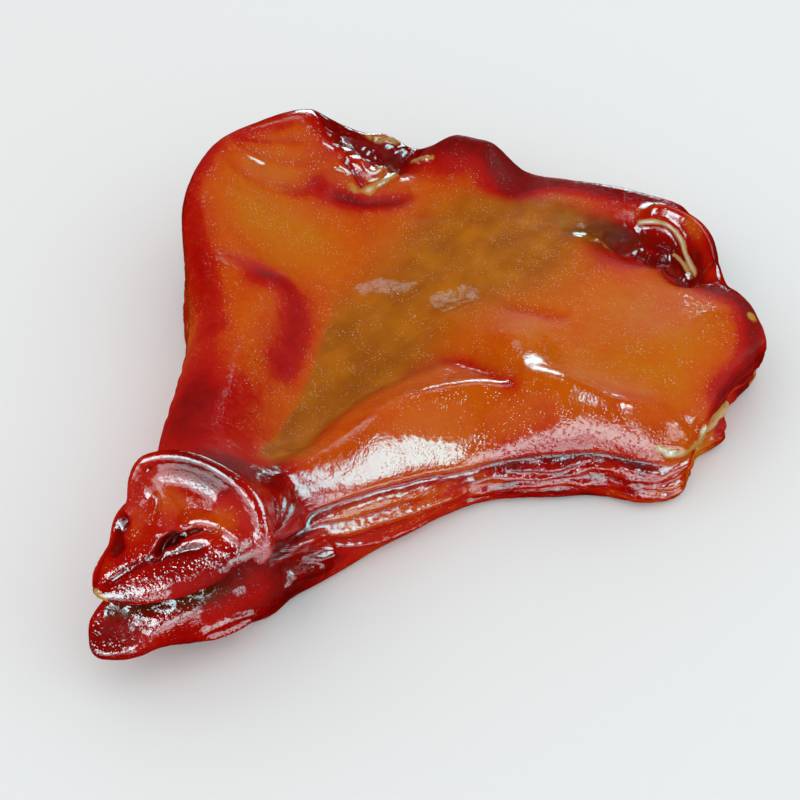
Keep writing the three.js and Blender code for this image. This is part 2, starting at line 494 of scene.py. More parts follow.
UPPER_LIP = Lip(
    middle=Stations(((-161, -8), (-148, -3), (-134, 2), (-112, 5), (-90, -2), (-70, -7))),
    half=Stations(((-161, 3), (-157, 9), (-148, 16), (-134, 22), (-112, 25), (-90, 26), (-70, 23))),
    low=Stations(((-161, 34), (-148, 35), (-134, 39), (-112, 46), (-90, 34), (-70, 20))),
    high=Stations(((-161, 42), (-148, 48), (-134, 53), (-112, 60), (-90, 56), (-70, 44))),
    tip=-161.0,
)
LOWER_LIP = Lip(
    middle=Stations(((-171, -3), (-150, 1), (-134, 7), (-112, 5), (-90, -4), (-70, -9))),
    half=Stations(((-171, 3), (-165, 10), (-150, 15), (-134, 20), (-112, 29), (-90, 36), (-70, 42))),
    low=Stations(((-171, 17), (-150, 11), (-134, 5), (-112, 1), (-90, 1), (-70, 1))),
    high=Stations(((-171, 24), (-150, 35), (-134, 39), (-112, 45), (-90, 41), (-70, 32))),
    tip=-171.0,
)


@dataclass(frozen=True)
class SnoutDisc:
    """The snout's face: an oval plateau inside a rolled rim, with folds round two nostrils.

    Its own coordinates are u across, v up and w out of the face, in mm.
    """

    centre: Point = (6.0, -117.0, 60.0)
    facing: Point = (0.25, -0.70, 0.67)
    half_width: float = 27.0
    half_height: float = 19.0
    depth: float = 26.0
    rim_half: Point = (2.5, 2.4)  # the rim's half width and half height
    rim_squareness: ClassVar[float] = 2.2
    narrowing: float = 0.35  # how much narrower the block is at its back, as a share
    wing: tuple[Point, Point] = ((-24.5, -16.0, -9.0), (10.0, 12.0, 9.0))  # oval: centre and radii
    slot_depth: float = 11.0
    slot: tuple[Point, ...] = ((-11.6, -19.0), (-10.0, -14.6), (-6.6, -12.0))
    slit: tuple[Point, ...] = ((-6, -12.4), (-2, -9.0), (3, -6.4), (10, -5.8))
    rim: tuple[Point, ...] = (
        (-27.5, -10), (-27, -3), (-27.4, 5), (-25.6, 12), (-20, 15.8), (-11.5, 18.0), (-2.5, 17.9),
        (6.5, 15.8), (15.4, 11.4), (21.4, 5.6), (25.4, -2.0), (27.0, -9), (27.4, -14),
    )
    # height of the face by distance in from the rim's crest: groove, plateau, ledge, dish
    ledge: Stations = Stations((
        (0, 0.9), (2.4, 0.9), (3.2, 1.0), (5.0, 0.6), (7.0, 0.2), (8.4, 0.2), (10.6, 0.2), (12.0, -0.2),
        (13.6, -1.1), (15.4, -1.9), (18, -2.2), (21, -2.0), (24, -1.6), (30, -1.0),
    ))
    relief: tuple[Form, ...] = (
        Form(((-12, -5), (-8, -7)), 0.6, 3.4),
        # arch over the right nostril, the tongue under its slit, the lip's top shelf
        Form(
            ((-7, -8.5), (-4.5, -6.2), (-1, -3.6), (4, -2.4), (10.6, -3.2), (17.3, -5), (22, -8)),
            3.4, 2.2, taper=0.1,
        ),
        Form(((-8, -17.6), (-5, -14), (-1, -11), (4, -8.9), (9, -8.2)), 2.0, 0.8, taper=0.15),
        Form(((-10, -21), (-3, -17), (5, -13.2), (14, -12), (22, -13.4)), 2.4, 2.6, taper=0.15),
        # left wing, the grooves on both its sides, the curl round the right nostril
        Form(((-25.5, 1), (-23, -5), (-21.6, -12), (-23, -19), (-27, -24)), 2.0, 2.6),
        Form(((-18.6, 3), (-17.2, -2.5), (-17.4, -8), (-18.6, -13)), -2.8, 1.7, taper=0.2),
        Form(((-19.6, -22), (-18.6, -17)), -1.6, 1.5),
        Form(((-17.4, -23), (-16.6, -16.8), (-14.2, -12.4), (-9.4, -10)), 2.4, 1.2, taper=0.12),
    )

    def axes(self) -> Array:
        """The disc's own axes: u level, w along facing, v square to both.

        Returns:
            The unit vectors along u, v and w, one to a row.
        """
        out = np.array(self.facing) / np.linalg.norm(self.facing)
        across = np.cross([0.0, 0.0, 1.0], out)
        across /= np.linalg.norm(across)
        return np.stack([across, np.cross(out, across), out])

    def local(self, points: Array) -> Array:
        """The points in the disc's own coordinates."""
        return (points - np.array(self.centre)) @ self.axes().T

    def field(self, points: Array) -> Array:
        """The disc's field: a tapered oval block under its relief, melted into a flattened round rim.

        Args:
            points: space coordinates on the last axis.

        Returns:
            One value for each point, negative inside.
        """
        own = self.local(points)
        u, v, w = own[..., 0], own[..., 1], own[..., 2]
        spread = 1.0 + self.narrowing * np.clip(w / self.depth, -1.0, 0.0)
        reach = np.hypot(u / self.half_width, v / self.half_height)
        side = (reach - spread) * self.half_height
        close = (reach < 1.8) & (np.abs(w) < 14.0)
        near = own[close]
        away, share, _ = nearest(near[:, :2], smooth_line(self.rim, 4))
        upper = smooth_step(0.04, 0.30, share) * smooth_step(0.92, 0.76, share)
        face = np.zeros_like(u)
        face[close] = total(self.relief, near) + self.ledge(away) * upper
        face -= 0.36 * np.maximum(-17.0 - u, 0.0) * smooth_step(9.0, 1.0, v)
        body = overlap(side, w - face, 2.0)
        body = overlap(body, -w - self.depth, 6.0)
        body = union(body, oval(own, *self.wing), 5.0)
        rim = np.full_like(u, FAR)
        sunk = 0.6 + 2.6 * (bell(share, 0.10) + bell(1.0 - share, 0.12))
        wide, high = self.rim_half
        power = self.rim_squareness
        up = np.abs(near[:, 2] + sunk)
        rim[close] = high * (np.power((away / wide) ** power + (up / high) ** power, 1 / power) - 1.0)
        return union(body, rim, 1.2)

    def hollows(self, points: Array) -> Array:
        """The right nostril's field: a slot that widens upwards, and the slit that runs on from it.

        Args:
            points: space coordinates on the last axis.

        Returns:
            The distance in the disc's plane to the slot or the slit, less its half width, cut off at
            its depth below the face.
        """
        own = self.local(points)
        result = np.full(own.shape[:-1], FAR)
        close = np.all(np.abs(own) < (36.0, 32.0, 16.0), axis=-1)
        near = own[close]
        plane, w = near[:, :2], near[:, 2]
        across, share, _ = nearest(plane, np.array(self.slot))
        slot = across - 0.9 - 1.5 * share - 0.05 * w
        along, run, _ = nearest(plane, smooth_line(self.slit, 4))
        slit = np.maximum(along - 1.1 + 0.8 * run, -w - 4.5 + 4.0 * run)
        result[close] = np.minimum(np.maximum(slot, -w - self.slot_depth), slit)
        return result


def oval(points: Array, centre: Point, radii: Point) -> Array:
    """An ellipsoid's field: its reduced radius less one, times its smallest radius."""
    reduced = np.sqrt(np.square((points - np.array(centre)) / np.array(radii)).sum(-1))
    return (reduced - 1.0) * min(radii)


@dataclass(frozen=True)
class Tendon:
    """The torn strand of fat that crosses the right end's cut."""

    line: tuple[Point, ...] = (
        (119, 39, 27), (122, 45, 25), (122.5, 55, 23), (122.5, 65, 21.5), (122, 75, 20),
        (120.5, 84, 18),
    )
    half: float = 1.5  # half its thickness
    zone: tuple[Point, ...] = ((108.0, 128.0), (30.0, 106.0), (8.0, 36.0))  # bounds in x, y and z

    def field(self, points: Array) -> Array:
        """The strand's field: the distance to its line less half its thickness."""
        return nearest(points, smooth_line(self.line))[0] - self.half


@dataclass(frozen=True)
class Mouth:
    """The gap between the lips: a thin curved wedge that dies away at the corners."""

    level: Stations = Stations(((-175, 31), (-160, 33), (-148, 37), (-134, 41.5), (-120, 46.5), (-108, 50)))
    gape: Stations = Stations((
        (-175, 11), (-160, 7.5), (-148, 4.2), (-134, 2.4), (-118, 1.2), (-108, 0.2), (-100, -2),
        (-94, -5),
    ))

    def field(self, y: Array, z: Array) -> Array:
        """The wedge's field: height away from its level less half its gape."""
        return np.abs(z - self.level(y)) - self.gape(y)


# ---------------------------------------------------------------- from field to skin


@dataclass
class Skin:
    """A closed quad mesh in mm: its points and its four-cornered faces."""

    points: Array
    faces: Array

    def edges(self) -> tuple[Array, Array]:
        """Both ends of every face edge, in the order that the faces run."""
        return self.faces.ravel(), np.roll(self.faces, -1, axis=1).ravel()

    def relaxed(self, rounds: int) -> "Skin":
        """The skin with each point moved half way to the mean of its neighbours, some times over.

        Args:
            rounds: how often the points move.

        Returns:
            The smoother skin.
        """
        start, end = self.edges()
        size = len(self.points)
        count = np.bincount(start, minlength=size)[:, None]
        points = self.points
        for _ in range(rounds):
            sums = np.stack([np.bincount(start, points[end, k], size) for k in range(3)], axis=-1)
            points = 0.5 * points + 0.5 * sums / count
        return Skin(points, self.faces)

    def normals(self) -> Array:
        """The directions in which the skin faces.

        Returns:
            For each point the sum of the crossed diagonals of the faces that meet there, made a
            unit long.
        """
        corner = self.points[self.faces]
        cross = np.cross(corner[:, 2] - corner[:, 0], corner[:, 3] - corner[:, 1])
        size = len(self.points)
        flat = self.faces.ravel()
        sums = [np.bincount(flat, np.repeat(cross[:, k], 4), size) for k in range(3)]
        way = np.stack(sums, axis=-1)
        return way / (np.linalg.norm(way, axis=1, keepdims=True) + 1e-12)

    def largest(self) -> "Skin":
        """The skin without loose scraps: the faces that hang together with most of the others.

        Each point takes the lowest label among its neighbours, then its label's own label, until
        nothing changes.

        Returns:
            The part whose label most points share.
        """
        start, end = self.edges()
        label = np.arange(len(self.points))
        while True:
            lowest = np.minimum(label[start], label[end])
            spread = label.copy()
            np.minimum.at(spread, start, lowest)
            np.minimum.at(spread, end, lowest)
            spread = spread[spread]
            if np.array_equal(spread, label):
                break
            label = spread
        kept = label == np.bincount(label).argmax()
        number = np.cumsum(kept) - 1
        return Skin(self.points[kept], number[self.faces[kept[self.faces[:, 0]]]])


@dataclass(frozen=True)
class Lattice:
    """The grid that the field is worked out on: close-set round the snout, wider over the slab."""

    fine: float
    coarse: float
    # the whole grid's bounds, and between them those of the close-set part
    x_places: Point = (-142.0, -38.0, 46.0, 132.0)
    y_places: Point = (-176.0, -175.0, -76.0, 181.0)
    z_places: Point = (-3.0, 84.0)

    def axes(self) -> tuple[Array, Array, Array]:
        """The grid's x, y and z values; z is spaced evenly, half way between fine and coarse.

        Returns:
            One rising row of node places for each direction.
        """
        low, high = self.z_places
        pitch = (self.fine + self.coarse) / 2
        z = np.linspace(low, high, round((high - low) / pitch))
        return self.axis(*self.x_places), self.axis(*self.y_places), z

    def axis(self, low: float, fine_low: float, fine_high: float, high: float) -> Array:
        """Node places from low to high, at the fine pitch between the two inner bounds.

        Args:
            low: the first node.
            fine_low: where the close-set part begins.
            fine_high: where it ends.
            high: the last node.

        Returns:
            The places, rising.
        """
        bounds = (low, fine_low, fine_high, high)
        places = []
        for start, end, pitch in zip(bounds, bounds[1:], (self.coarse, self.fine, self.coarse)):
            count = max(round((end - start) / pitch), 1)
            places.append(np.linspace(start, end, count, endpoint=False))
        return np.concatenate([*places, [high]])


def zone(axes: Sequence[Array], bounds: Sequence[Point]) -> tuple[slice, ...]:
    """The block of a grid's nodes that lies between two bounds on each axis."""
    return tuple(slice(*np.searchsorted(axis, pair)) for axis, pair in zip(axes, bounds))


JUST_INSIDE = -0.01  # a field's value that is barely inside, in mm


def bridged(values: Array, rounds: int = 4) -> Array:
    """The field without squares of four nodes that are inside at two opposite corners only.

    There two sheets of skin would share an edge, so one of the outside corners is taken just inside
    and they melt together.

    Args:
        values: the field on the grid's nodes, negative inside.
        rounds: how often each direction is gone through, because one bridge can call for another.

    Returns:
        The changed field.
    """
    values = values.copy()
    sides = (slice(None, -1), slice(1, None))
    for k in (0, 1, 2) * rounds:
        m, n = (k + 1) % 3, (k + 2) % 3
        corners = {}
        for i, j in np.ndindex(2, 2):
            part = [slice(None)] * 3
            part[m], part[n] = sides[i], sides[j]
            corners[i, j] = values[tuple(part)]
        for i in (0, 1):
            solid = (corners[0, i] < 0) & (corners[1, 1 - i] < 0)
            corners[0, 1 - i][solid & (corners[0, 1 - i] >= 0) & (corners[1, i] >= 0)] = JUST_INSIDE
    return values


def skin_of(values: Array, x: Array, y: Array, z: Array) -> Skin:
    """The surface where a field crosses zero, as a mesh of quads (surface nets).

    Every cell whose corners differ in sign holds one point, the mean of the places where the field
    crosses zero along its edges. Every grid edge that crosses zero makes one quad, between the
    points of the four cells round it, turned so that it faces out.

    Args:
        values: the field on the grid's nodes, negative inside.
        x: the grid's x values.
        y: the grid's y values.
        z: the grid's z values.

    Returns:
        The closed skin.
    """
    inside = values < 0
    cells = tuple(n - 1 for n in values.shape)
    corners = [np.array(c) for c in np.ndindex(2, 2, 2)]
    views = [inside[tuple(slice(c, c + n) for c, n in zip(corner, cells))] for corner in corners]
    mixed = np.any(views, axis=0) & ~np.all(views, axis=0)
    cell = np.stack(np.nonzero(mixed), axis=-1)
    places = [
        np.stack([axis[cell[:, k]], axis[cell[:, k] + 1]], axis=-1) for k, axis in enumerate((x, y, z))
    ]
    sums = np.zeros((len(cell), 3))
    count = np.zeros((len(cell), 1))
    for first in corners:
        for k in np.nonzero(first == 0)[0]:
            second = first.copy()
            second[k] = 1
            a = values[tuple((cell + first).T)]
            b = values[tuple((cell + second).T)]
            crosses = ((a < 0) != (b < 0))[:, None]
            share = np.where(crosses[:, 0], a / np.where(a == b, 1.0, a - b), 0.0)
            spot = np.stack([places[m][:, first[m]] for m in range(3)], axis=-1)
            spot[:, k] = places[k][:, 0] + share * (places[k][:, 1] - places[k][:, 0])
            sums += np.where(crosses, spot, 0.0)
            count += crosses
    number = np.full(cells, -1, np.int64)
    number[mixed] = np.arange(len(cell))
    quads = []
    for k in range(3):
        low = tuple(slice(None, -1) if m == k else slice(1, -1) for m in range(3))
        high = tuple(slice(1, None) if m == k else slice(1, -1) for m in range(3))
        crosses = inside[low] != inside[high]
        base = np.stack(np.nonzero(crosses), axis=-1)
        outward = inside[low][crosses]
        m, n = (k + 1) % 3, (k + 2) % 3
        ring = []
        for step_m, step_n in ((0, 0), (1, 0), (1, 1), (0, 1)):
            at = base.copy()
            at[:, m] += step_m
            at[:, n] += step_n
            ring.append(number[tuple(at.T)])
        ring = np.stack(ring, axis=-1)
        quads.append(np.where(outward[:, None], ring, ring[:, ::-1]))
    return Skin(sums / count, np.concatenate(quads))


MOST_STEP = 0.8  # how far a point may settle at a time, in mm


def read_grid(grid: Array, axes: Sequence[Array], points: Array) -> Array:
    """A grid's values at loose points, blended between the eight nodes round each.

    Args:
        grid: the values on the nodes.
        axes: the grid's x, y and z values.
        points: the points, one to a row.

    Returns:
        The sum of the eight values, each times the share of the cell that lies opposite it.
    """
    at, t = [], []
    for k, axis in enumerate(axes):
        cell = np.clip(np.searchsorted(axis, points[:, k], side="right") - 1, 0, len(axis) - 2)
        at.append(cell)
        t.append((points[:, k] - axis[cell]) / (axis[cell + 1] - axis[cell]))
    blend = 0.0
    for corner in np.ndindex(2, 2, 2):
        weight = np.prod([t[k] if corner[k] else 1.0 - t[k] for k in range(3)], axis=0)
        blend = blend + weight * grid[at[0] + corner[0], at[1] + corner[1], at[2] + corner[2]]
    return blend


def settled(skin: Skin, values: Array, axes: Sequence[Array], rounds: int) -> Skin:
    """The skin with its points moved onto the field's zero.

    Args:
        skin: the skin.
        values: the field on the grid's nodes.
        axes: the grid's x, y and z values.
        rounds: how many Newton steps each point takes along the field's slope.

    Returns:
        The skin, with no step longer than MOST_STEP.
    """
    slopes = np.gradient(values, *axes)
    points = skin.points
    for _ in range(rounds):
        height = read_grid(values, axes, points)
        slope = np.stack([read_grid(g, axes, points) for g in slopes], axis=-1)
        step = height[:, None] * slope / (np.square(slope).sum(-1, keepdims=True) + 1e-9)
        points = points - np.clip(step, -MOST_STEP, MOST_STEP)
    return Skin(points, skin.faces)


# ---------------------------------------------------------------- creases, grain and tints


def grain(points: Array, size: float, octaves: int, seed: int) -> Array:
    """Noise of several sizes: each octave is half as wide and half as strong as the one before."""
    return sum(lattice_noise(points, size / 2**k, seed + k) / 2**k for k in range(octaves))


@dataclass(frozen=True)
class Wrinkles:
    """Creases, strands, lumps and grain, as heights in mm along the skin's normal."""

    creases: tuple[Form, ...] = (
        # lobe: creases that fan out from its shoulder, a taut streak, and the fold under them
        Form(((-129, 50), (-118, 56), (-106, 70), (-98, 80)), -0.9, 1.6, taper=0.25),
        Form(((-127, 48), (-113, 52), (-98, 66), (-90, 76)), -0.8, 1.5, taper=0.25),
        Form(((-126, 44), (-111, 41), (-99, 49), (-86, 64)), -0.9, 2.6, taper=0.25),
        Form(((-128, 54), (-118, 64), (-107, 80)), -0.6, 1.8, taper=0.25),
        Form(((-121, 46), (-112, 50), (-104, 55.5)), 1.1, 1.7, taper=0.3),
        Form(((-100, 50), (-92, 58), (-86, 74)), -1.1, 3.4, taper=0.3),
        # cheek bulge: where it ends against the lobe, and its front edge
        Form(((-92, -10), (-81, 0), (-66, 4), (-56, 12)), -1.0, 6.0, taper=0.3),
        # valley: long shallow folds, and the dint behind the brow
        Form(((14, 64), (32, 72), (48, 78)), -1.4, 4.0, taper=0.3),
        Form(((-52, 84), (-38, 100), (-18, 112)), -1.2, 4.0, taper=0.3),
        Form(((-30, 20), (-22, 40), (-14, 62)), -1.0, 3.5, taper=0.3),
        Form(((-8, 20), (-4, 44), (6, 66)), -0.8, 3.0, taper=0.3),
        # upper lip: the crease between its two rolls, on both sides
        Form(
            ((-9, -158, 43), (-4, -148, 47), (1, -140, 50), (9, -132, 53), (18, -124, 55)),
            -2.2, 1.8, taper=0.12,
        ),
        Form(
            ((-11, -160, 42), (-17, -150, 45), (-21, -138, 48), (-21, -128, 50)),
            -1.6, 1.9, taper=0.15,
        ),
        # left nostril: a crescent pocket between the wing and the outer flap
        Form(
            ((-18, -131, 54), (-19, -136, 49), (-16, -141, 48), (-10, -144, 48)),
            -3.6, 2.8, taper=0.15,
        ),
        # left ear's cut: torn weals, curled lumps, bars of fat and the dent under them
        Form(((-103, 88, 53), (-98, 91, 49), (-95, 95, 45), (-92, 96, 43)), 1.6, 1.7, taper=0.2),
        Form(((-98, 81, 52), (-91, 85, 49)), 1.2, 1.6, taper=0.2),
        Form(((-88, 78, 46), (-83, 81, 43), (-79, 83, 40)), 2.0, 1.7, taper=0.2),
        Form(((-82, 90, 42), (-78, 89, 40), (-75, 92, 37), (-75, 97, 36)), 2.6, 2.2),
        Form(((-94, 105, 35), (-91, 108, 31), (-88, 112, 29)), 2.2, 1.8, taper=0.2),
        Form(((-88, 106, 30), (-85, 113, 28)), 1.8, 1.7, taper=0.2),
        Form(((-90, 118, 30), (-86, 121, 28)), 1.7, 1.6),
        Form(((-84, 119, 27), (-82, 125, 27)), 1.7, 1.6),
        Form(((-78, 114, 25), (-72, 119, 27), (-64, 123, 31)), 2.2, 1.7, Profile.BAND, taper=0.1),
        Form(((-71, 86, 35), (-70, 98, 33), (-75, 113, 26)), 1.8, 1.7, Profile.BAND, taper=0.1),
        Form(((-75, 92, 37), (-76, 101, 33), (-80, 114, 25)), 1.6, 1.9, taper=0.1),
        Form(((-85, 85, 44), (-81, 85, 42), (-74, 84, 37)), -2.6, 2.0),
        Form(
            ((-84, 67, 40), (-76, 72, 36), (-67, 79, 34), (-59, 92, 31), (-57, 104, 29)),
            -1.8, 3.2, taper=0.2,
        ),
        # right ear's cut: a thin torn line across its floor, and one down its far wall
        Form(((34, 146, 16), (39, 146, 16), (44, 149, 16), (48, 152, 17)), 1.6, 1.5, taper=0.2),
        Form(((52, 149, 17), (59, 148, 17), (69, 142, 17)), 1.8, 1.5, taper=0.2),
        Form(
            ((33, 153, 23), (40, 156, 25), (47, 157, 25), (55, 155, 22), (63, 149, 19), (71, 142, 20)),
            1.4, 1.8,
        ),
    )
    layer: float = 4.6  # thickness of one of the stacked layers
    # drawn on the right wall, as (y, z): strands and creases that run back from the mouth's corner
    strands: tuple[Form, ...] = (
        Form(
            (
                (-112, 41), (-98, 34), (-87, 31), (-73, 31.5), (-59, 31), (-44, 28.5), (-29, 23.5),
                (-15, 18), (-1, 18.5), (14, 21.5), (29, 21), (41, 18),
            ),
            -2.0, 1.4, taper=0.05,
        ),
        Form(((-108, 50), (-97, 51), (-88, 53)), -1.5, 1.0, taper=0.2),
        Form(((-108, 47), (-95, 47), (-84, 49)), -1.5, 1.0, taper=0.2),
        Form(((-108, 44), (-94, 43), (-80, 44), (-68, 42)), -1.3, 1.0, taper=0.25),
        Form(((-108, 42), (-90, 33), (-69, 25), (-50, 21.5), (-31, 17.5)), -1.5, 1.1, taper=0.15),
        Form(((-100, 34), (-90, 30), (-69, 21), (-52, 18), (-33, 14), (-18, 12)), 1.5, 1.0, taper=0.12),
        Form(((-88, 26), (-69, 17), (-52, 13.5), (-35, 10)), -1.3, 1.2, taper=0.2),
        Form(((-108, 38), (-97, 31), (-81, 22), (-66, 13), (-52, 7), (-30, 5)), 1.6, 1.1, taper=0.12),
        Form(((-108, 34), (-96, 25), (-84, 17), (-70, 8)), -1.6, 1.6, taper=0.2),
        Form(((-106, 30), (-98, 16), (-88, 6)), -1.2, 1.8, taper=0.25),
        # lower lip: a ring-shaped weal, and the ridge along its side
        Form(
            (
                (-141, 20), (-137, 23), (-130, 24), (-123, 22), (-120, 19.4), (-125, 17), (-132, 16.5),
                (-138, 17.5), (-141, 20),
            ),
            1.7, 1.5,
        ),
        Form(((-160, 26), (-152, 29), (-144, 32), (-138, 34)), 1.4, 2.0, taper=0.2),
        Form(((-104, 24), (-94, 20), (-84, 17), (-75, 16)), 4.4, 5.0, taper=0.1),
    )

    def drawn(self, points: Array, normals: Array) -> Array:
        """The height of the creases and strands that are drawn one by one.

        Args:
            points: the skin's points in mm.
            normals: their unit normals.

        Returns:
            The creases' heights, and the strands' where the skin faces right.
        """
        right = smooth_step(0.05, 0.35, normals[:, 0]) * smooth_step(14.0, 24.0, points[:, 0])
        return total(self.creases, points) + total(self.strands, points[:, 1:]) * right

    def loose(self, points: Array, valley: Array, cut: Array, layered: Array, painted_shade: Array) -> Array:
        """The height of what covers whole areas: waves, valley puckers, meat lumps and stacked layers.

        Args:
            points: the skin's points in mm.
            valley: how far each point lies in the thin-skinned valley, from 0 to 1.
            cut: how far it lies in an open cut, from 0 to 1.
            layered: how far it lies on an edge of stacked layers, from 0 to 1.
            painted_shade: how far it lies in a dark fold, where shade is painted, from 0 to 1.

        Returns:
            Waves of 22 mm everywhere, puckers of 13 and 5 mm in the valley, lumps of 7 mm in the cuts,
            pleats in the folds, fine grain, and on the layers' edges a sine of height whose phase
            wanders, broken by lumps.
        """
        waves = 0.4 * lattice_noise(points, 22.0, 1)
        puckers = valley * (0.8 * lattice_noise(points, 13.0, 2) + 0.32 * lattice_noise(points, 5.0, 3))
        lumps = cut * 1.9 * grain(points, 7.0, 2, 4)
        wander = 1.3 * lattice_noise(points * np.array([0.35, 0.35, 1.0]), 8.0, 6)
        phase = points[:, 2] / self.layer + wander
        patchy = 0.3 + 0.7 * smooth_step(-0.3, 0.4, lattice_noise(points, 13.0, 5))
        broken = 1.1 * grain(points * (0.6, 0.6, 1.0), 4.4, 2, 7)
        layers = layered * (0.9 * patchy * np.sin(2 * np.pi * phase) + broken)
        pleats = painted_shade * 1.5 * grain(points * (0.5, 0.5, 1.0), 3.2, 2, 12)
        fine = (0.10 + 0.08 * valley) * lattice_noise(points, 2.8, 9)
        return waves + puckers + lumps + layers + pleats + fine


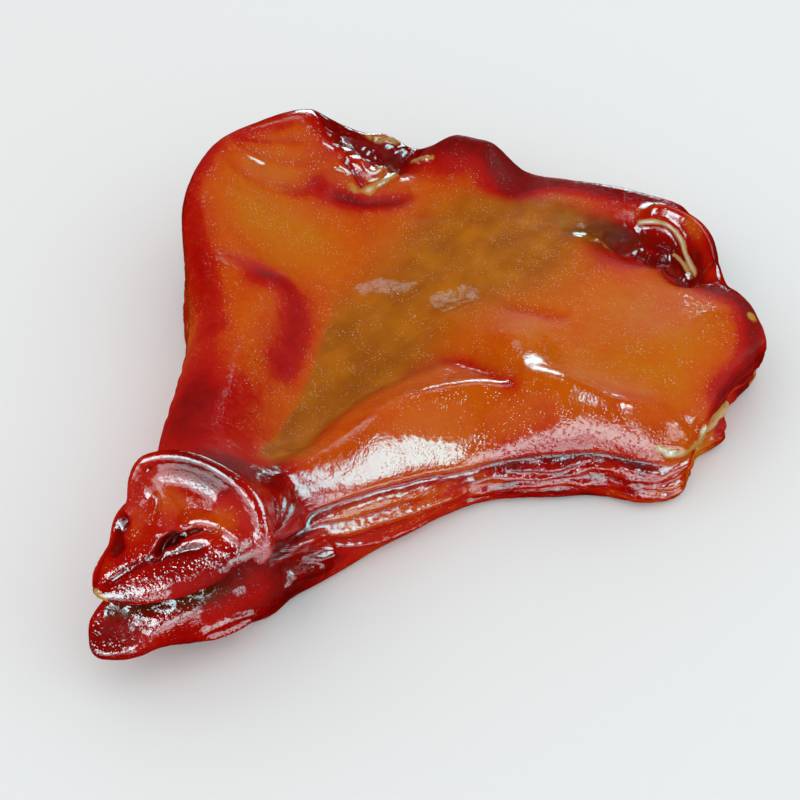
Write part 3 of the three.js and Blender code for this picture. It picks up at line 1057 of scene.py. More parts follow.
@dataclass(frozen=True)
class Tints:
    """Where the cure took hold, and where shade and a highlight are painted: sums of soft strokes, in plan
    or in space.
    """

    red: tuple[Form, ...] = (
        # muzzle, cheek, right wall's foot, the cut's rim, painted shade under it and in the nostril, left
        # lobe
        Form(((-4, -106), (-20, -84), (-34, -66)), 0.42, 20),
        Form(((4, -104), (2, -92)), 0.14, 9),
        Form(((-40, -86), (-48, -64), (-58, -44)), 0.22, 11),
        Form(((4, -98), (10, -84)), 0.26, 15),
        Form(((36, -96, 18), (40, -74, 14), (48, -48, 6), (66, -12, 3), (98, 18, 2)), 0.22, 7),
        Form(((-92, 86, 46), (-82, 88, 42)), 0.15, 9),
        # painted shade along the dent under the left ear's cut
        Form(((-84, 67, 40), (-70, 76, 35), (-59, 90, 31)), 0.30, 6),
        Form(((30, -100, 46), (28, -84, 46)), 0.16, 12),
        # painted shade in the left nostril's pocket
        Form(((-19, -134, 50), (-13, -143, 48)), 0.30, 5),
        Form(((-128, 40), (-119, 16), (-98, -4), (-79, -18), (-64, -32)), 0.36, 7),
        Form(((-130, 60), (-122, 86), (-110, 99), (-98, 108)), 0.36, 13),
        Form(((-64, 2), (-54, 6), (-46, 2), (-38, -10), (-32, -24)), 0.42, 7),
        # cuts and nape
        Form(((-98, 96), (-88, 106), (-80, 122)), 0.66, 10),
        Form(((-62, 132), (-46, 140), (-30, 136)), 0.62, 14),
        Form(((-28, 144), (0, 160), (30, 171), (60, 168), (80, 150)), 0.60, 8),
        Form(((-16, 128), (2, 134)), 0.30, 9),
        Form(((4, 132), (18, 138), (30, 124), (44, 126)), 0.30, 9),
        Form(((14, 132), (34, 144), (56, 147), (72, 138)), 0.72, 11),
        Form(((88, 131), (102, 128), (112, 118), (122, 100), (122, 78)), 0.66, 8),
        # ridge's fold, darkened with painted shade, its front end, the band under the brow
        Form(((12, -84), (0, -50), (-2, -20), (6, 14), (16, 27), (30, 28), (52, 20)), 0.30, 4.5),
        Form(((32, -98), (24, -82)), 0.22, 14),
        Form(((63, -2), (78, 10), (95, 24), (112, 33)), 0.22, 6),
        # disc, upper lip, lower lip and jaw
        Form(((-16, -128, 58), (6, -117, 60), (26, -114, 58)), 0.22, 20),
        Form(((-6, -164, 38), (2, -146, 44), (24, -124, 48)), 0.42, 12),
        Form(((-4, -172, 20), (6, -150, 20), (24, -120, 22), (36, -92, 20)), 0.50, 22),
    )
    amber: tuple[Form, ...] = (  # paler skin: bulge, jowl, brow, ridge, cut end, disc
        Form(((-86, 34), (-76, 38)), 0.28, 20),
        Form(((-110, 48), (-104, 52)), 0.12, 14),
        Form(((58, 98), (98, 90)), 0.16, 30),
        Form(((40, 54), (58, 44)), 0.10, 20),
        Form(((34, -20), (50, 4)), 0.08, 14),
        Form(((120, 60, 8), (124, 76, 8), (121, 92, 8)), 0.45, 9),
        Form(((29, -101, 44), (32, -88, 34), (38, -70, 26)), 0.34, 9),
        Form(((55, 162, 28), (69, 153, 27), (79, 140, 27)), 0.45, 3.6),
        Form(((-6, -120, 62), (16, -115, 60)), 0.46, 9),
        Form(((70, 62), (92, 64)), 0.14, 22),
        Form(((-15, -131, 54), (-12, -137, 50)), 0.20, 6),
    )
    olive: tuple[Form, ...] = (  # the valley's thin skin, less the nape
        Form(((0, -62), (-12, -38), (-14, -10), (-18, 16)), 0.95, 14),
        Form(((-14, 14), (-18, 44), (-24, 80), (-18, 112)), 0.75, 34),
        Form(((10, 92), (0, 126)), 0.50, 32),
        Form(((-64, 136), (-46, 143), (-30, 140)), -1.3, 15),
        Form(((-20, 156), (10, 166), (40, 172)), -0.9, 10),
    )
    # bare fat, and a highlight painted in fat's white on the right ear's far wall
    fat_and_highlight: tuple[Form, ...] = (  # bare fat: bars in the ears' cuts, the tendon, edges, the lip's tip
        Form(((-72, 84, 35), (-70, 98, 33), (-75, 113, 26), (-72, 119, 27), (-64, 123, 31)), 0.8, 2.0),
        Form(((-78, 78, 38), (-74, 80, 36), (-71, 84, 35)), 0.6, 3.2),
        Form(((-75, 94, 37), (-77, 102, 33), (-80, 114, 25)), 0.62, 3.6),
        Form(Tendon.line, 1.6, 2.0),
        Form(((115, 38, 29), (119, 40, 26)), 1.3, 1.6),
        # painted highlight: the white arc on the right ear's far wall, in fat's colour
        Form(
            ((33, 153, 23), (40, 156, 25), (47, 157, 25), (55, 155, 22), (63, 149, 19), (71, 142, 20)),
            1.4, 1.4,
        ),
        # painted highlight: the thin white line under that arc
        Form(((54, 150, 17), (60, 148, 17), (69, 142, 17)), 1.1, 0.9),
        Form(((108, 123, 34), (115, 115, 28), (117, 117, 14), (118, 112, 4)), 0.8, 2.6),
        Form(((16, 126), (30, 134)), 0.5, 3.5),
        Form(((-98, 113, 34), (-92, 119, 31), (-88, 125, 28)), 0.62, 4.5),
        Form(((-9, -160, 42), (-5, -160, 41)), 0.9, 2.4),
    )
    bristle: tuple[Form, ...] = (  # where bristle pores show: lips, cheek, ridge, jowl
        Form(((-6, -162, 38), (2, -146, 44), (24, -124, 48)), 1.0, 12),
        Form(((30, -118, 52), (34, -110, 58)), 0.8, 8),
        Form(((-2, -172, 22), (8, -150, 28)), 0.9, 12),
        Form(((-14, -100), (-34, -70)), 0.45, 16),
        Form(((46, -12), (61, 1), (79, 13), (95, 25), (113, 35)), 1.0, 7),
        Form(((70, 80), (84, 60)), 0.4, 18),
    )
    open_cuts: tuple[Form, ...] = (  # bare meat where the ears were and at the right end
        Form(((-100, 94), (-88, 106), (-80, 122)), 1.0, 10),
        Form(((18, 132), (34, 142), (56, 145), (70, 138)), 1.0, 9),
        Form(((124, 60), (128, 84), (124, 108)), 0.6, 6),
    )
    # painted shade: darker in the mouth's gap, along the right wall's fold and on the cuts' floors
    painted_shade: tuple[Form, ...] = (  # dark folds: the mouth, the wall's fold, the cuts' floors
        Form(
            ((-11, -158, 26), (0, -151, 30), (12, -142, 35), (24, -131, 38), (33, -118, 43)),
            1.0, 4.2, taper=0.05,
        ),
        Form(
            ((28, -108, 40), (24, -90, 31), (32, -70, 31), (37, -59, 31), (51, -29, 23)),
            0.4, 2.4, taper=0.1,
        ),
        Form(
            ((51, -29, 22), (58, -15, 16), (70, -1, 17), (88, 14, 20), (113, 29, 20), (121, 38, 17)),
            0.65, 1.8,
        ),
        Form(((12, 128), (22, 140), (36, 146)), 0.55, 7),
        Form(((-92, 92), (-84, 98), (-76, 110)), 0.5, 7),
    )
    # where the skin is dull; negative strokes are patches that shine all the same
    dull: tuple[Form, ...] = (
        # valley, back to the nape's lump
        Form(((0, -62), (-12, -38), (-14, -10), (-18, 16)), 1.0, 19),
        Form(((-14, 14), (-18, 44), (-24, 80), (-18, 112)), 1.1, 40),
        Form(((10, 92), (0, 126)), 0.8, 38),
        Form(((-64, 128), (-46, 138), (-28, 140)), 1.4, 15),
        # left lobe, right ridge, the wall beside the snout
        Form(((-115, 48), (-103, 45), (-96, 72), (-84, 62)), 1.3, 13),
        Form(((58, 6), (62, 10), (66, 15), (72, 19)), 1.3, 5.5),
        Form(((26, -26, 40), (31, -17, 39), (38, -11, 37), (44, -6, 35)), 1.5, 6.5),
        Form(((32, -98, 22), (38, -78, 16), (46, -52, 12), (56, -26, 10)), 1.2, 9),
        # rim, lips and the mouth's corner, the jowl's corner
        Form(((14, -110, 66), (19, -111, 63), (24, -113, 60)), 1.2, 4.5),
        Form(((17, -142, 45), (24, -133, 46), (25, -122, 41)), 1.2, 4),
        Form(((24, -124, 44), (28, -118, 38), (33, -112, 30)), 1.2, 8),
        Form(((28, -123, 34), (29, -121, 34)), -1.8, 2.8),
        Form(((112, 122), (121, 104)), 1.0, 7),
        Form(((26, -134, 30), (29, -126, 32), (31, -118, 30)), 1.3, 6),
        Form(((-18, -118, 68), (-17, -117, 68)), 1.5, 3),
        # left ear's cut, brow, right ear's cut
        Form(((-95, 100, 41), (-91, 106, 34), (-87, 112, 29), (-82, 117, 25)), 3.2, 6),
        Form(((-75, 79, 34), (-66, 86, 32), (-62, 97, 30)), 1.6, 4.5),
        Form(((19, 61, 29), (32, 66, 30), (44, 70, 29), (64, 67, 30)), 1.3, 8),
        Form(((67, 54, 33), (82, 54, 33), (94, 52, 37), (106, 44, 42)), 1.3, 7),
        Form(((33, 54, 36), (41, 52, 36)), 1.2, 4.5),
        Form(((23, 140, 22), (28, 142, 18), (33, 143, 16)), 3.2, 6),
        # behind the disc, its left groove, the lower lip's tip
        Form(((-20, -88, 54), (-6, -89, 56), (5, -92, 58)), 1.2, 7),
        Form(((-19, -124, 63), (-18, -128, 58), (-13, -130, 55)), 0.9, 4.5),
        Form(((-4, -160, 26), (10, -158, 26)), 0.65, 7),
        # left lobe, less its taut streak, and left cheek
        Form(((-114, 42), (-100, 60)), 1.2, 13),
        Form(((-121, 46), (-112, 50), (-104, 55.5)), -1.6, 2.0),
        Form(((-64, -40), (-58, -10), (-62, 14)), 1.0, 16),
        Form(((-92, 28), (-80, 42)), 1.0, 28),
        Form(((-36, -84), (-52, -60)), 1.1, 15),
        # the disc's face, the jowl and its edge
        Form(((-6, -119, 62), (-4, -124, 59), (-1, -127, 57)), 1.1, 4.0),
        Form(((-2, -117, 61), (6, -116, 61), (14, -114, 59)), 0.6, 3.5),
        Form(((62, 104), (80, 84), (104, 76)), 1.1, 26),
        Form(((84, 126), (100, 124)), 1.1, 6),
        Form(((98, 129), (111, 112), (119, 95), (121, 80), (122, 62)), 0.9, 5),
        # patches of the valley that shine
        Form(((-37, 37), (-33, 45)), -1.3, 4.5),
        Form(((-26, 46), (-21, 52)), -1.3, 5.0),
        Form(((-6, 54), (-1, 62)), -1.5, 7.5),
        Form(((2, 36), (5, 42)), -1.0, 5.0),
        Form(((-36, 6), (-32, 10)), -1.0, 5.0),
    )
    corner: Point = (-114.0, 46.0)  # (y, z) on the right wall that the strands spread from
    fan: tuple[Form, ...] = (  # skin drawn into fine streaks
        Form(((34, -108, 42), (32, -96, 42), (30, -84, 43)), 1.0, 11),
        Form(((34, -100, 34), (38, -84, 28), (42, -66, 22), (50, -44, 16)), 0.8, 7),
    )
    start: float = 0.33  # cure of the bare skin, before any wash
    # the left cheek's edge against the valley
    cheek: tuple[Point, ...] = (
        (2, -96), (-8, -70), (-21, -28), (-33, -2), (-45, 18), (-70, 30), (-100, 70),
    )

    def layered(self, points: Array, level: Array) -> Array:
        """1 on the wall under the skin's fold, where the layers' edges show, 0 above it.

        Args:
            points: the skin's points in mm.
            level: the fold's height at each of them.

        Returns:
            The share, fading towards the muzzle.
        """
        x, y, z = points.T
        under = smooth_step(0.5, -3.0, z - level)
        right = smooth_step(30.0, 60.0, x) * smooth_step(-60.0, -10.0, y)
        left = smooth_step(-20.0, -40.0, x) * smooth_step(-90.0, -60.0, y)
        end = smooth_step(110.0, 114.0, x) * smooth_step(48.0, 60.0, y) * smooth_step(31.0, 25.0, z)
        return np.maximum(under * np.maximum(right, 0.7 * left), 0.8 * end)

    def washes(
        self, points: Array, normals: Array, drawn: Array, layered: Array, cut: Array
    ) -> dict[str, Array]:
        """The values that the finish reads at each point.

        Args:
            points: the skin's points in mm.
            normals: their unit normals.
            drawn: the height of the drawn creases, which are painted darker the deeper they are, as painted
                shade.
            layered: how far each point lies on an edge of stacked layers.
            cut: how far it lies in an open cut.

        Returns:
            cure_and_shade (0 amber to 1 maroon, darker where shade is painted in creases, folds and
            pockets), olive, bristle, painted_shade, dull, fan and layer, each from 0 to 1,
            fat_and_highlight, which is bare fat from 0.7 on and white above 1.3, as on the tendon and where
            a highlight is painted, and turn, the angle round the mouth's corner in radians.
        """
        wall = layered * (0.10 + 0.08 * smooth_step(0.0, 30.0, points[:, 0]))
        olive = np.clip(total(self.olive, points), 0.0, 1.0) * smooth_step(0.45, 0.8, normals[:, 2])
        cheek = smooth_step(-3.0, 5.0, self.cheek_side(points))
        cure_and_shade = self.start + total(self.red, points) - total(self.amber, points) + wall
        # painted shade: the deeper a drawn crease, the darker it is painted
        cure_and_shade = cure_and_shade - 0.16 * np.minimum(drawn, 0.0) - 0.10 * olive
        # painted shade of the dark folds
        painted_shade = np.clip(total(self.painted_shade, points), 0.0, 1.0)
        folds = 0.9 * painted_shade * smooth_step(-110.0, -90.0, points[:, 1])
        dull = total(self.dull, points) - 2.0 * cut + folds
        facing_right = smooth_step(0.1, 0.4, normals[:, 0])
        return {
            "cure_and_shade": np.clip(cure_and_shade, 0.0, 0.95),
            "olive": olive * cheek,
            "fat_and_highlight": np.clip(total(self.fat_and_highlight, points), 0.0, 1.6),
            "dull": np.clip(dull, 0.0, 1.0) * smooth_step(0.9, 0.35, drawn),
            "fan": np.clip(total(self.fan, points), 0.0, 1.0) * facing_right,
            "turn": np.arctan2(points[:, 2] - self.corner[1], points[:, 1] - self.corner[0]),
            "layer": layered,
            "bristle": np.clip(total(self.bristle, points), 0.0, 1.0),
            "painted_shade": painted_shade,
        }

    def cheek_side(self, points: Array) -> Array:
        """How far in plan a point lies to the valley's side of the left cheek's edge, in mm."""
        distance, _, side = nearest(points[:, :2], smooth_line(self.cheek))
        return -distance * np.sign(side)


@dataclass
class CuredFace:
    """The whole piece: slab, snout and tendon melted into one skin, then creased and dressed."""

    slab: Slab
    upper_lip: Lip
    lower_lip: Lip
    disc: SnoutDisc
    mouth: Mouth
    tendon: Tendon
    wrinkles: Wrinkles
    tints: Tints
    finish: "CuredRind"
    lattice: Lattice
    snout_zone: tuple[Point, ...] = ((-45.0, 56.0), (-176.0, -62.0))  # bounds in x and y
    lip_sink: float = 8.0  # how deep both lips lie where they run out behind the muzzle
    smoothings: int = 2  # rounds in which the raw skin relaxes
    settlings: int = 2  # steps back onto the field's zero
    most_triangles: int = 196_000

    def snout(self, slab: Array, x: Array, y: Array, z: Array) -> Array:
        """The field round the snout: slab, lips and disc melted together, less mouth and nostril.

        Args:
            slab: the slab's field there.
            x: the block's x values.
            y: the block's y values.
            z: the block's z values.

        Returns:
            One value for each node of the block, negative inside.
        """
        gx, gy, gz = x[:, None, None], y[None, :, None], z[None, None, :]
        points = np.stack(np.broadcast_arrays(gx, gy, gz), axis=-1)
        sink = self.lip_sink
        fade = sink * smooth_step(-66.0, -84.0, gy)
        lower = union(slab, self.lower_lip.field(gx, gy, gz) + sink - fade, 8.0)
        upper = union(self.upper_lip.field(gx, gy, gz) + sink - fade, self.disc.field(points), 5.0)
        whole = union(lower, upper, 3.0 + 5.0 * smooth_step(-125.0, -100.0, gy))
        whole = overlap(whole, -self.mouth.field(gy, gz), 1.5)
        return overlap(whole, -self.disc.hollows(points), 2.0)

    def field(self, x: Array, y: Array, z: Array) -> Array:
        """The whole field on the grid: the slab's, with the snout and the tendon melted into it.

        Args:
            x: the grid's x values.
            y: the grid's y values.
            z: the grid's z values.

        Returns:
            One value for each node, negative inside.
        """
        values = self.slab.field(x, y, z)
        near = zone((x, y), self.snout_zone)
        values[near] = self.snout(values[near], x[near[0]], y[near[1]], z)
        end = zone((x, y, z), self.tendon.zone)
        points = np.stack(np.meshgrid(x[end[0]], y[end[1]], z[end[2]], indexing="ij"), axis=-1)
        values[end] = union(values[end], self.tendon.field(points), 1.5)
        return values

    def sculpt(self) -> Skin:
        """The smooth skin in the sculpt's own millimetres, before its fine creases.

        Returns:
            The field's zero surface, one closed skin.
        """
        axes = self.lattice.axes()
        values = bridged(self.field(*axes))
        skin = skin_of(values, *axes).largest().relaxed(self.smoothings)
        return settled(skin, values, axes, self.settlings)

    def creased(self, skin: Skin) -> tuple[Skin, dict[str, Array]]:
        """The skin with its creases and grain, and the washes of colour at its points.

        Args:
            skin: the smooth skin.

        Returns:
            The skin, each point moved along its normal by the wrinkles' height there, less near the
            flat underside, and the washes by name.
        """
        points, normals = skin.points, skin.normals()
        drawn = self.wrinkles.drawn(points, normals)
        layered = self.tints.layered(points, self.slab.fold_level(points[:, 1]))
        cut = np.clip(total(self.tints.open_cuts, points), 0.0, 1.0)
        washes = self.tints.washes(points, normals, drawn, layered, cut)
        height = drawn + self.wrinkles.loose(points, washes["olive"], cut, layered, washes["painted_shade"])
        height = height * smooth_step(0.5, 5.0, points[:, 2])
        moved = points + normals * height[:, None]
        moved[:, 2] = np.maximum(moved[:, 2], 0.0)
        return Skin(moved, skin.faces), washes

    def build(self) -> bpy.types.Object:
        """Makes the piece in metres, in the row's frame, with its washes and its finish.

        Returns:
            The finished object.
        """
        skin, washes = self.creased(self.sculpt())
        mesh = bpy.data.meshes.new("cured_face")
        mesh.from_pydata(((skin.points + ORIGIN) * MM).tolist(), [], skin.faces.tolist())
        mesh.update()
        mesh.shade_smooth()
        for name, values in washes.items():
            layer = mesh.attributes.new(name, "FLOAT", "POINT")
            layer.data.foreach_set("value", values.astype(np.float32))
        mesh.materials.append(self.finish.made())
        piece = bpy.data.objects.new("cured_face", mesh)
        bpy.context.scene.collection.objects.link(piece)
        self.thin(piece)
        return piece

    def thin(self, piece: bpy.types.Object) -> None:
        """Merges the flattest faces, the underside's first, until the piece is down to most_triangles
        triangles.

        Args:
            piece: the object, whose mesh is replaced by the thinner one.
        """
        triangles = 2 * len(piece.data.polygons)
        if triangles <= self.most_triangles:
            return
        thinner = piece.modifiers.new("thinner", "DECIMATE")
        thinner.ratio = self.most_triangles / triangles
        seen = piece.evaluated_get(bpy.context.evaluated_depsgraph_get())
        piece.data = bpy.data.meshes.new_from_object(seen)
        piece.modifiers.clear()


# ---------------------------------------------------------------- finish


class Nodes:
    """A material's node tree, with one method that adds any node to it."""

    def __init__(self, name: str) -> None:
        """Starts a material with its Principled shader.

        Args:
            name: the material's name.
        """
        self.material = bpy.data.materials.new(name)
        self.material.use_nodes = True
        self.tree = self.material.node_tree
        self.shader = self.tree.nodes["Principled BSDF"]

    def feed(self, socket: bpy.types.NodeSocket, value: Any) -> None:
        """Links the socket to a Value, or sets it to a constant.

        Args:
            socket: an input socket.
            value: a Value, or what the socket's own kind holds.
        """
        if isinstance(value, Value):
            self.tree.links.new(value.socket, socket)
        else:
            socket.default_value = value

    def node(
        self, kind: str, settings: dict[str, Any], inputs: dict[Any, Any], output: str | int = 0
    ) -> "Value":
        """Adds a node, first its settings, then its sockets.

        Args:
            kind: the node's type.
            settings: properties by name; "stops" holds a ramp's (position, colour) pairs.
            inputs: values or links by socket name or number.
            output: the name or number of the socket that is wanted.

        Returns:
            That output, wrapped for sums.
        """
        made = self.tree.nodes.new(kind)
        for name, setting in settings.items():
            if name == "stops":
                self.set_stops(made.color_ramp, setting)
            else:
                setattr(made, name, setting)
        for name, value in inputs.items():
            self.feed(made.inputs[name], value)
        return Value(self, made.outputs[output])

    @staticmethod
    def set_stops(ramp: bpy.types.ColorRamp, stops: Sequence[tuple[float, Point]]) -> None:
        """Gives the ramp its stops.

        Args:
            ramp: a new ramp, with two stops.
            stops: positions and colours, two or more.
        """
        while len(ramp.elements) < len(stops):
            ramp.elements.new(1.0)
        for element, (position, colour) in zip(ramp.elements, stops):
            element.position = position
            element.color = (*colour, 1.0)


@dataclass(frozen=True)
class Value:
    """An output socket that adds Math nodes when it stands in a sum."""

    nodes: Nodes
    socket: bpy.types.NodeSocket

    def math(self, operation: str, first: Any, second: Any, clamp: bool = False) -> "Value":
        """A Math node on two values."""
        settings = {"operation": operation, "use_clamp": clamp}
        return self.nodes.node("ShaderNodeMath", settings, {0: first, 1: second})

    def __add__(self, other: Any) -> "Value":
        """self + other."""
        return self.math("ADD", self, other)

    def __radd__(self, other: Any) -> "Value":
        """other + self."""
        return self.math("ADD", other, self)

    def __sub__(self, other: Any) -> "Value":
        """self - other."""
        return self.math("SUBTRACT", self, other)

    def __rsub__(self, other: Any) -> "Value":
        """other - self."""
        return self.math("SUBTRACT", other, self)

    def __mul__(self, other: Any) -> "Value":
        """self * other."""
        return self.math("MULTIPLY", self, other)

    def __rmul__(self, other: Any) -> "Value":
        """other * self."""
        return self.math("MULTIPLY", other, self)

    def clamped(self) -> "Value":
        """self held between 0 and 1."""
        return self.math("ADD", self, 0.0, clamp=True)

    def step(self, low: float, high: float) -> "Value":
        """A smooth rise from 0 at low to 1 at high."""
        inputs = {"Value": self, "From Min": low, "From Max": high}
        return self.nodes.node("ShaderNodeMapRange", {"interpolation_type": "SMOOTHSTEP"}, inputs)


# the skin's attributes, as Tints.washes names them
WASHES = ("cure_and_shade", "olive", "fat_and_highlight", "bristle", "painted_shade", "dull", "fan", "turn", "layer")


@dataclass(frozen=True)
class CuredRind:
    """The finish: lacquered, smoke-cured skin, amber where thin and maroon where it took most cure."""

    cure_stops: tuple[tuple[float, Point], ...] = (
        (0.00, (0.56, 0.16, 0.003)),
        (0.25, (0.58, 0.094, 0.001)),
        (0.42, (0.53, 0.048, 0.001)),
        (0.54, (0.47, 0.012, 0.0008)),
        (0.72, (0.41, 0.003, 0.0008)),
        (0.86, (0.27, 0.002, 0.0008)),
        (1.00, (0.17, 0.002, 0.001)),
    )
    olive_pair: tuple[Point, Point] = ((0.27, 0.076, 0.002), (0.46, 0.152, 0.003))
    # bare fat; the white end also paints a highlight on the right ear's far wall
    fat_and_highlight_pair: tuple[Point, Point] = ((0.50, 0.24, 0.03), (0.68, 0.52, 0.38))
    # painted glints: pale flecks on the grease spots
    painted_glint_colour: Point = (0.86, 0.50, 0.30)
    # painted shade, for the dark folds and the cuts' floors
    painted_shade_colour: Point = (0.085, 0.022, 0.004)
    gloss_ior: float = 1.6
    gloss_roughness: float = 0.045  # of the smoothest glossy skin
    matt_roughness: float = 0.5
    matt_specular: float = 0.02
    glow: float = 0.10  # weight of the light that passes through the surface
    glow_radius: Point = (1.0, 0.3, 0.1)
    glow_depth: float = 0.003
    pore_height: float = 0.00012

    def made(self) -> bpy.types.Material:
        """The material, from Object coordinates and the skin's own washes.

        Returns:
            Glossy and matt skin of one colour and relief, mixed by a ragged share of the dull wash.
        """
        n = Nodes("cured_rind")
        wash = {
            name: n.node("ShaderNodeAttribute", {"attribute_name": name}, {}, "Fac") for name in WASHES
        }
        pattern = self.patterns(n, wash["bristle"])
        middle = pattern["middle"]
        # bare fat, and the highlight painted in its colour
        fat_and_highlight = (wash["fat_and_highlight"] + 0.6 * (middle - 0.5) + 0.3 * (pattern["fine"] - 0.5)).step(0.35, 0.7)
        relief = self.relief(n, wash, pattern)
        bump = {"Strength": 1.0, "Distance": self.pore_height, "Height": relief}
        common = {
            "Base Color": self.colour(n, wash, pattern, fat_and_highlight),
            "Normal": n.node("ShaderNodeBump", {}, bump),
            "IOR": self.gloss_ior,
            "Subsurface Weight": self.glow,
            "Subsurface Radius": self.glow_radius,
            "Subsurface Scale": self.glow_depth,
        }
        own = {"Roughness": self.matt_roughness, "Specular IOR Level": self.matt_specular}
        matt = n.node("ShaderNodeBsdfPrincipled", {}, common | own)
        roughness = self.gloss_roughness + 0.07 * middle + 0.25 * fat_and_highlight
        for name, value in (common | {"Roughness": roughness}).items():
            n.feed(n.shader.inputs[name], value)
        dull = (wash["dull"] + 1.4 * (pattern["ragged"] - 0.5)).step(0.22, 0.62)
        share = dull * (1.0 - 0.9 * pattern["grease_and_glint"])
        whole = n.node("ShaderNodeMixShader", {}, {0: share, 1: Value(n, n.shader.outputs[0]), 2: matt})
        n.feed(n.tree.nodes["Material Output"].inputs["Surface"], whole)
        return n.material

    @staticmethod
    def patterns(n: Nodes, bristle: Value) -> dict[str, Value]:
        """The noises and cells that colour, relief and gloss share.

        Args:
            n: the material's nodes.
            bristle: the wash of skin with bristle pores.

        Returns:
            Values by name: noise from broad to grit, plates of stacked layers, streaks along the
            face, specks, the pores' dots, and grease_and_glint, a scatter of grease spots, raised and
            glossy, that the colour also paints as pale glints.
        """
        place = n.node("ShaderNodeTexCoord", {}, {}, "Object")

        def noise(scale: float, detail: float, vector: Value = place) -> Value:
            """Noise from 0 to 1, with so many features to a metre."""
            inputs = {"Vector": vector, "Scale": scale, "Detail": detail}
            return n.node("ShaderNodeTexNoise", {}, inputs)

        def cells(scale: float) -> Value:
            """The distance to the nearest cell's middle, with so many cells to a metre."""
            return n.node("ShaderNodeTexVoronoi", {}, {"Vector": place, "Scale": scale}, "Distance")

        flat = n.node("ShaderNodeMapping", {}, {"Vector": place, "Scale": (0.14, 0.14, 1.0)})
        drawn_out = n.node("ShaderNodeMapping", {}, {"Vector": place, "Scale": (1.0, 0.5, 1.0)})
        return {
            "broad": noise(55.0, 3.0),
            "middle": noise(240.0, 3.0),
            "ragged": noise(420.0, 4.0),
            "fine": noise(900.0, 3.0),
            "grit": noise(2600.0, 1.0),
            "plates": noise(520.0, 3.0, flat),
            "streaky": noise(110.0, 5.0, drawn_out),
            "specks": cells(950.0),
            "dots": (1.0 - cells(520.0).step(0.10, 0.45)) * bristle,
            # grease spots: raised and glossy, and painted with pale glints
            "grease_and_glint": (1.0 - cells(820.0).step(0.08, 0.28)) * noise(130.0, 2.0).step(0.43, 0.56),
        }

    def colour(self, n: Nodes, wash: dict[str, Value], pattern: dict[str, Value], fat_and_highlight: Value) -> Value:
        """The skin's colour: the cure's, then olive, fat, painted shade and painted glints, in turn.

        Args:
            n: the material's nodes.
            wash: the skin's washes by name.
            pattern: the patterns by name.
            fat_and_highlight: the share of bare fat, and of the highlight painted in fat's colour.

        Returns:
            The colour.
        """
        broad, middle = pattern["broad"], pattern["middle"]
        # the cure, with the shade painted into creases, folds and pockets
        cure_and_shade = wash["cure_and_shade"] + 1.3 * wash["layer"] * (pattern["plates"] - 0.5)
        cure_and_shade = cure_and_shade + 0.34 * (broad - 0.5) + 0.20 * (middle - 0.5) + 0.16 * (pattern["fine"] - 0.5)
        skin = n.node("ShaderNodeValToRGB", {"stops": self.cure_stops}, {0: cure_and_shade.clamped()})
        mottle = (broad * 0.5 + pattern["streaky"] * 0.5).step(0.30, 0.70)
        olive = (wash["olive"] * 1.15 + 0.4 * (broad - 0.5)).step(0.15, 0.95)
        skin = self.mixed(n, olive * 0.85, skin, self.mixed(n, mottle, *self.olive_pair))
        skin = self.mixed(n, fat_and_highlight, skin, self.mixed(n, wash["fat_and_highlight"].step(0.8, 1.3), *self.fat_and_highlight_pair))
        # painted shade in the dark folds
        painted_shade = (wash["painted_shade"] + 0.5 * (middle - 0.5)).step(0.1, 1.0)
        skin = self.mixed(n, painted_shade * 0.8, skin, self.painted_shade_colour)
        # painted glints: pale flecks on the grease spots, away from the deep red
        painted_glints = pattern["grease_and_glint"] * (1.0 - cure_and_shade.step(0.45, 0.7)) * 0.6
        return self.mixed(n, painted_glints, skin, self.painted_glint_colour)

    @staticmethod
    def relief(n: Nodes, wash: dict[str, Value], pattern: dict[str, Value]) -> Value:
        """The height of what is too fine for the mesh: grain, pores, spots, streaks and plates.

        Args:
            n: the material's nodes.
            wash: the skin's washes by name.
            pattern: the patterns by name.

        Returns:
            The height, in units of the pores' height. The streaks run out from the mouth's corner,
            because they change with the angle round it alone.
        """
        turned = {"W": wash["turn"] * 55.0, "Scale": 1.0}
        streaks = n.node("ShaderNodeTexNoise", {"noise_dimensions": "1D"}, turned)
        height = 1.3 * pattern["ragged"] + 0.45 * pattern["fine"] + 0.35 * pattern["specks"]
        height = height + 0.20 * pattern["grit"] + 1.6 * pattern["dots"] + 0.9 * pattern["grease_and_glint"]
        return height + 3.2 * wash["fan"] * streaks + 3.2 * wash["layer"] * pattern["plates"]

    @staticmethod
    def mixed(n: Nodes, share: Value, first: Any, second: Any) -> Value:
        """A colour between two, by a Mix node.

        Args:
            n: the material's nodes.
            share: 0 for the first colour, 1 for the second.
            first: a link, or red, green and blue.
            second: the same.

        Returns:
            The mixed colour.
        """
        a = first if isinstance(first, Value) else (*first, 1.0)
        b = second if isinstance(second, Value) else (*second, 1.0)
        inputs = {"Factor": share, 6: a, 7: b}  # 6 and 7 are the colour sockets A and B
        return n.node("ShaderNodeMix", {"data_type": "RGBA"}, inputs, 2)


# ---------------------------------------------------------------- studio


@dataclass(frozen=True)
class Panel:
    """A rectangular light that the gloss mirrors and that lights nothing else."""

    name: str
    azimuth: float  # the direction it stands in, in degrees
    elevation: float  # its height over the floor, in degrees
    size: Point  # width and height in metres
    glow: float  # its radiance: power over pi times area
    red: float  # its share of red, so that its image in the red skin comes out white


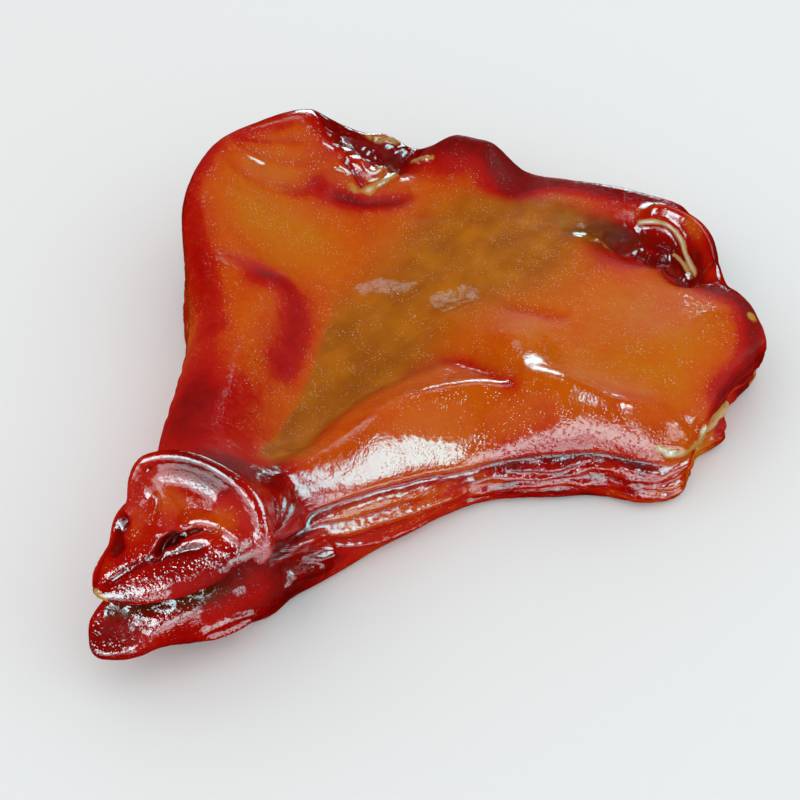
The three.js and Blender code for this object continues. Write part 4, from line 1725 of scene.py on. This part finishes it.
@dataclass(frozen=True)
class Floor:
    """The plain pale floor."""

    half: float = 3.0
    colour: Point = (0.85, 0.85, 0.85, 1.0)
    roughness: float = 0.9

    def build(self) -> None:
        """Makes the floor, which the gloss doesn't mirror."""
        h = self.half
        mesh = bpy.data.meshes.new("floor")
        mesh.from_pydata([(-h, -h, 0), (h, -h, 0), (h, h, 0), (-h, h, 0)], [], [(0, 1, 2, 3)])
        n = Nodes("floor")
        n.feed(n.shader.inputs["Base Color"], self.colour)
        n.feed(n.shader.inputs["Roughness"], self.roughness)
        mesh.materials.append(n.material)
        floor = bpy.data.objects.new("floor", mesh)
        floor.visible_glossy = False
        bpy.context.scene.collection.objects.link(floor)


@dataclass(frozen=True)
class Studio:
    """Soft light all round, panels for the gloss, the floor and the camera."""

    target: Point = (6.0, 6.4, 12.0)  # in the sculpt's own mm
    azimuth: float = 37.5  # the camera's direction from the target, in degrees
    elevation: float = 48.5
    distance: float = 776.0  # in mm
    field_of_view: float = 25.0  # in degrees, across the picture
    sensor: float = 36.0  # in mm
    panel_distance: float = 1.2  # in metres
    green_blue: Point = (0.95, 1.0)  # of every panel's colour, beside its own red
    panels: tuple[Panel, ...] = (
        Panel("right", 114.0, 42.0, (1.10, 0.86), 14.0, 0.42),
        Panel("right_low", 50.0, 15.0, (1.20, 0.50), 8.0, 0.62),
        Panel("right_foot", 72.0, -12.0, (1.90, 0.40), 5.0, 0.62),
        Panel("front", 350.0, 39.0, (0.76, 0.50), 17.0, 0.66),
        Panel("front_low", 352.0, 15.0, (0.80, 0.51), 4.0, 0.66),
        Panel("back", 210.0, 50.0, (0.42, 0.30), 2.6, 0.50),
        Panel("brow", 211.0, 5.0, (0.46, 0.48), 10.0, 0.50),
    )
    sky: Point = (1.0, 1.0, 1.0, 1.0)
    sky_strength: float = 0.95

    def centre(self) -> Vector:
        """The target in metres, in the row's frame."""
        return (Vector(self.target) + Vector(ORIGIN)) * MM

    def away(self, azimuth: float, elevation: float) -> Vector:
        """The unit vector from the target towards an azimuth and an elevation, in degrees."""
        a, e = math.radians(azimuth), math.radians(elevation)
        return Vector((math.sin(a) * math.cos(e), -math.cos(a) * math.cos(e), math.sin(e)))

    def aimed(self, name: str, data: Any, spot: Vector) -> bpy.types.Object:
        """An object at a spot, turned so that its -Z points to the target.

        Args:
            name: the object's name.
            data: its camera or light.
            spot: where it stands, in metres.

        Returns:
            The object, in the scene.
        """
        made = bpy.data.objects.new(name, data)
        made.location = spot
        made.rotation_euler = (self.centre() - spot).to_track_quat("-Z", "Y").to_euler()
        bpy.context.scene.collection.objects.link(made)
        return made

    def hang(self, panel: Panel) -> None:
        """Makes a panel's light.

        Args:
            panel: its place, size and colour.
        """
        data = bpy.data.lights.new(panel.name, "AREA")
        data.shape = "RECTANGLE"
        data.size, data.size_y = panel.size
        data.energy = panel.glow * math.pi * panel.size[0] * panel.size[1]
        data.color = (panel.red, *self.green_blue)
        spot = self.centre() + self.away(panel.azimuth, panel.elevation) * self.panel_distance
        self.aimed(panel.name, data, spot).visible_diffuse = False

    def build(self) -> None:
        """Makes the camera, the lights, the world and the floor."""
        camera = bpy.data.cameras.new("camera")
        camera.sensor_width = self.sensor
        camera.lens = self.sensor / 2 / math.tan(math.radians(self.field_of_view / 2))
        spot = self.centre() + self.away(self.azimuth, self.elevation) * self.distance * MM
        bpy.context.scene.camera = self.aimed("camera", camera, spot)
        for panel in self.panels:
            self.hang(panel)
        bpy.context.scene.view_settings.view_transform = "Standard"
        world = bpy.data.worlds.new("studio")
        bpy.context.scene.world = world
        world.use_nodes = True
        world.cycles_visibility.glossy = False
        background = world.node_tree.nodes["Background"]
        background.inputs["Color"].default_value = self.sky
        background.inputs["Strength"].default_value = self.sky_strength
        Floor().build()


def main() -> None:
    """Builds the studio and the piece."""
    logging.basicConfig(level=logging.INFO, format="%(name)s: %(message)s")
    Studio().build()
    face = CuredFace(
        slab=Slab(),
        upper_lip=UPPER_LIP,
        lower_lip=LOWER_LIP,
        disc=SnoutDisc(),
        mouth=Mouth(),
        tendon=Tendon(),
        wrinkles=Wrinkles(),
        tints=Tints(),
        finish=CuredRind(),
        lattice=Lattice(fine=0.85, coarse=1.5),
    )
    piece = face.build()
    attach(piece, "root")
    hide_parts(NODE)
    LOG.info("cured_face: %d points, %d faces", len(piece.data.vertices), len(piece.data.polygons))


if __name__ == "__main__":
    main()
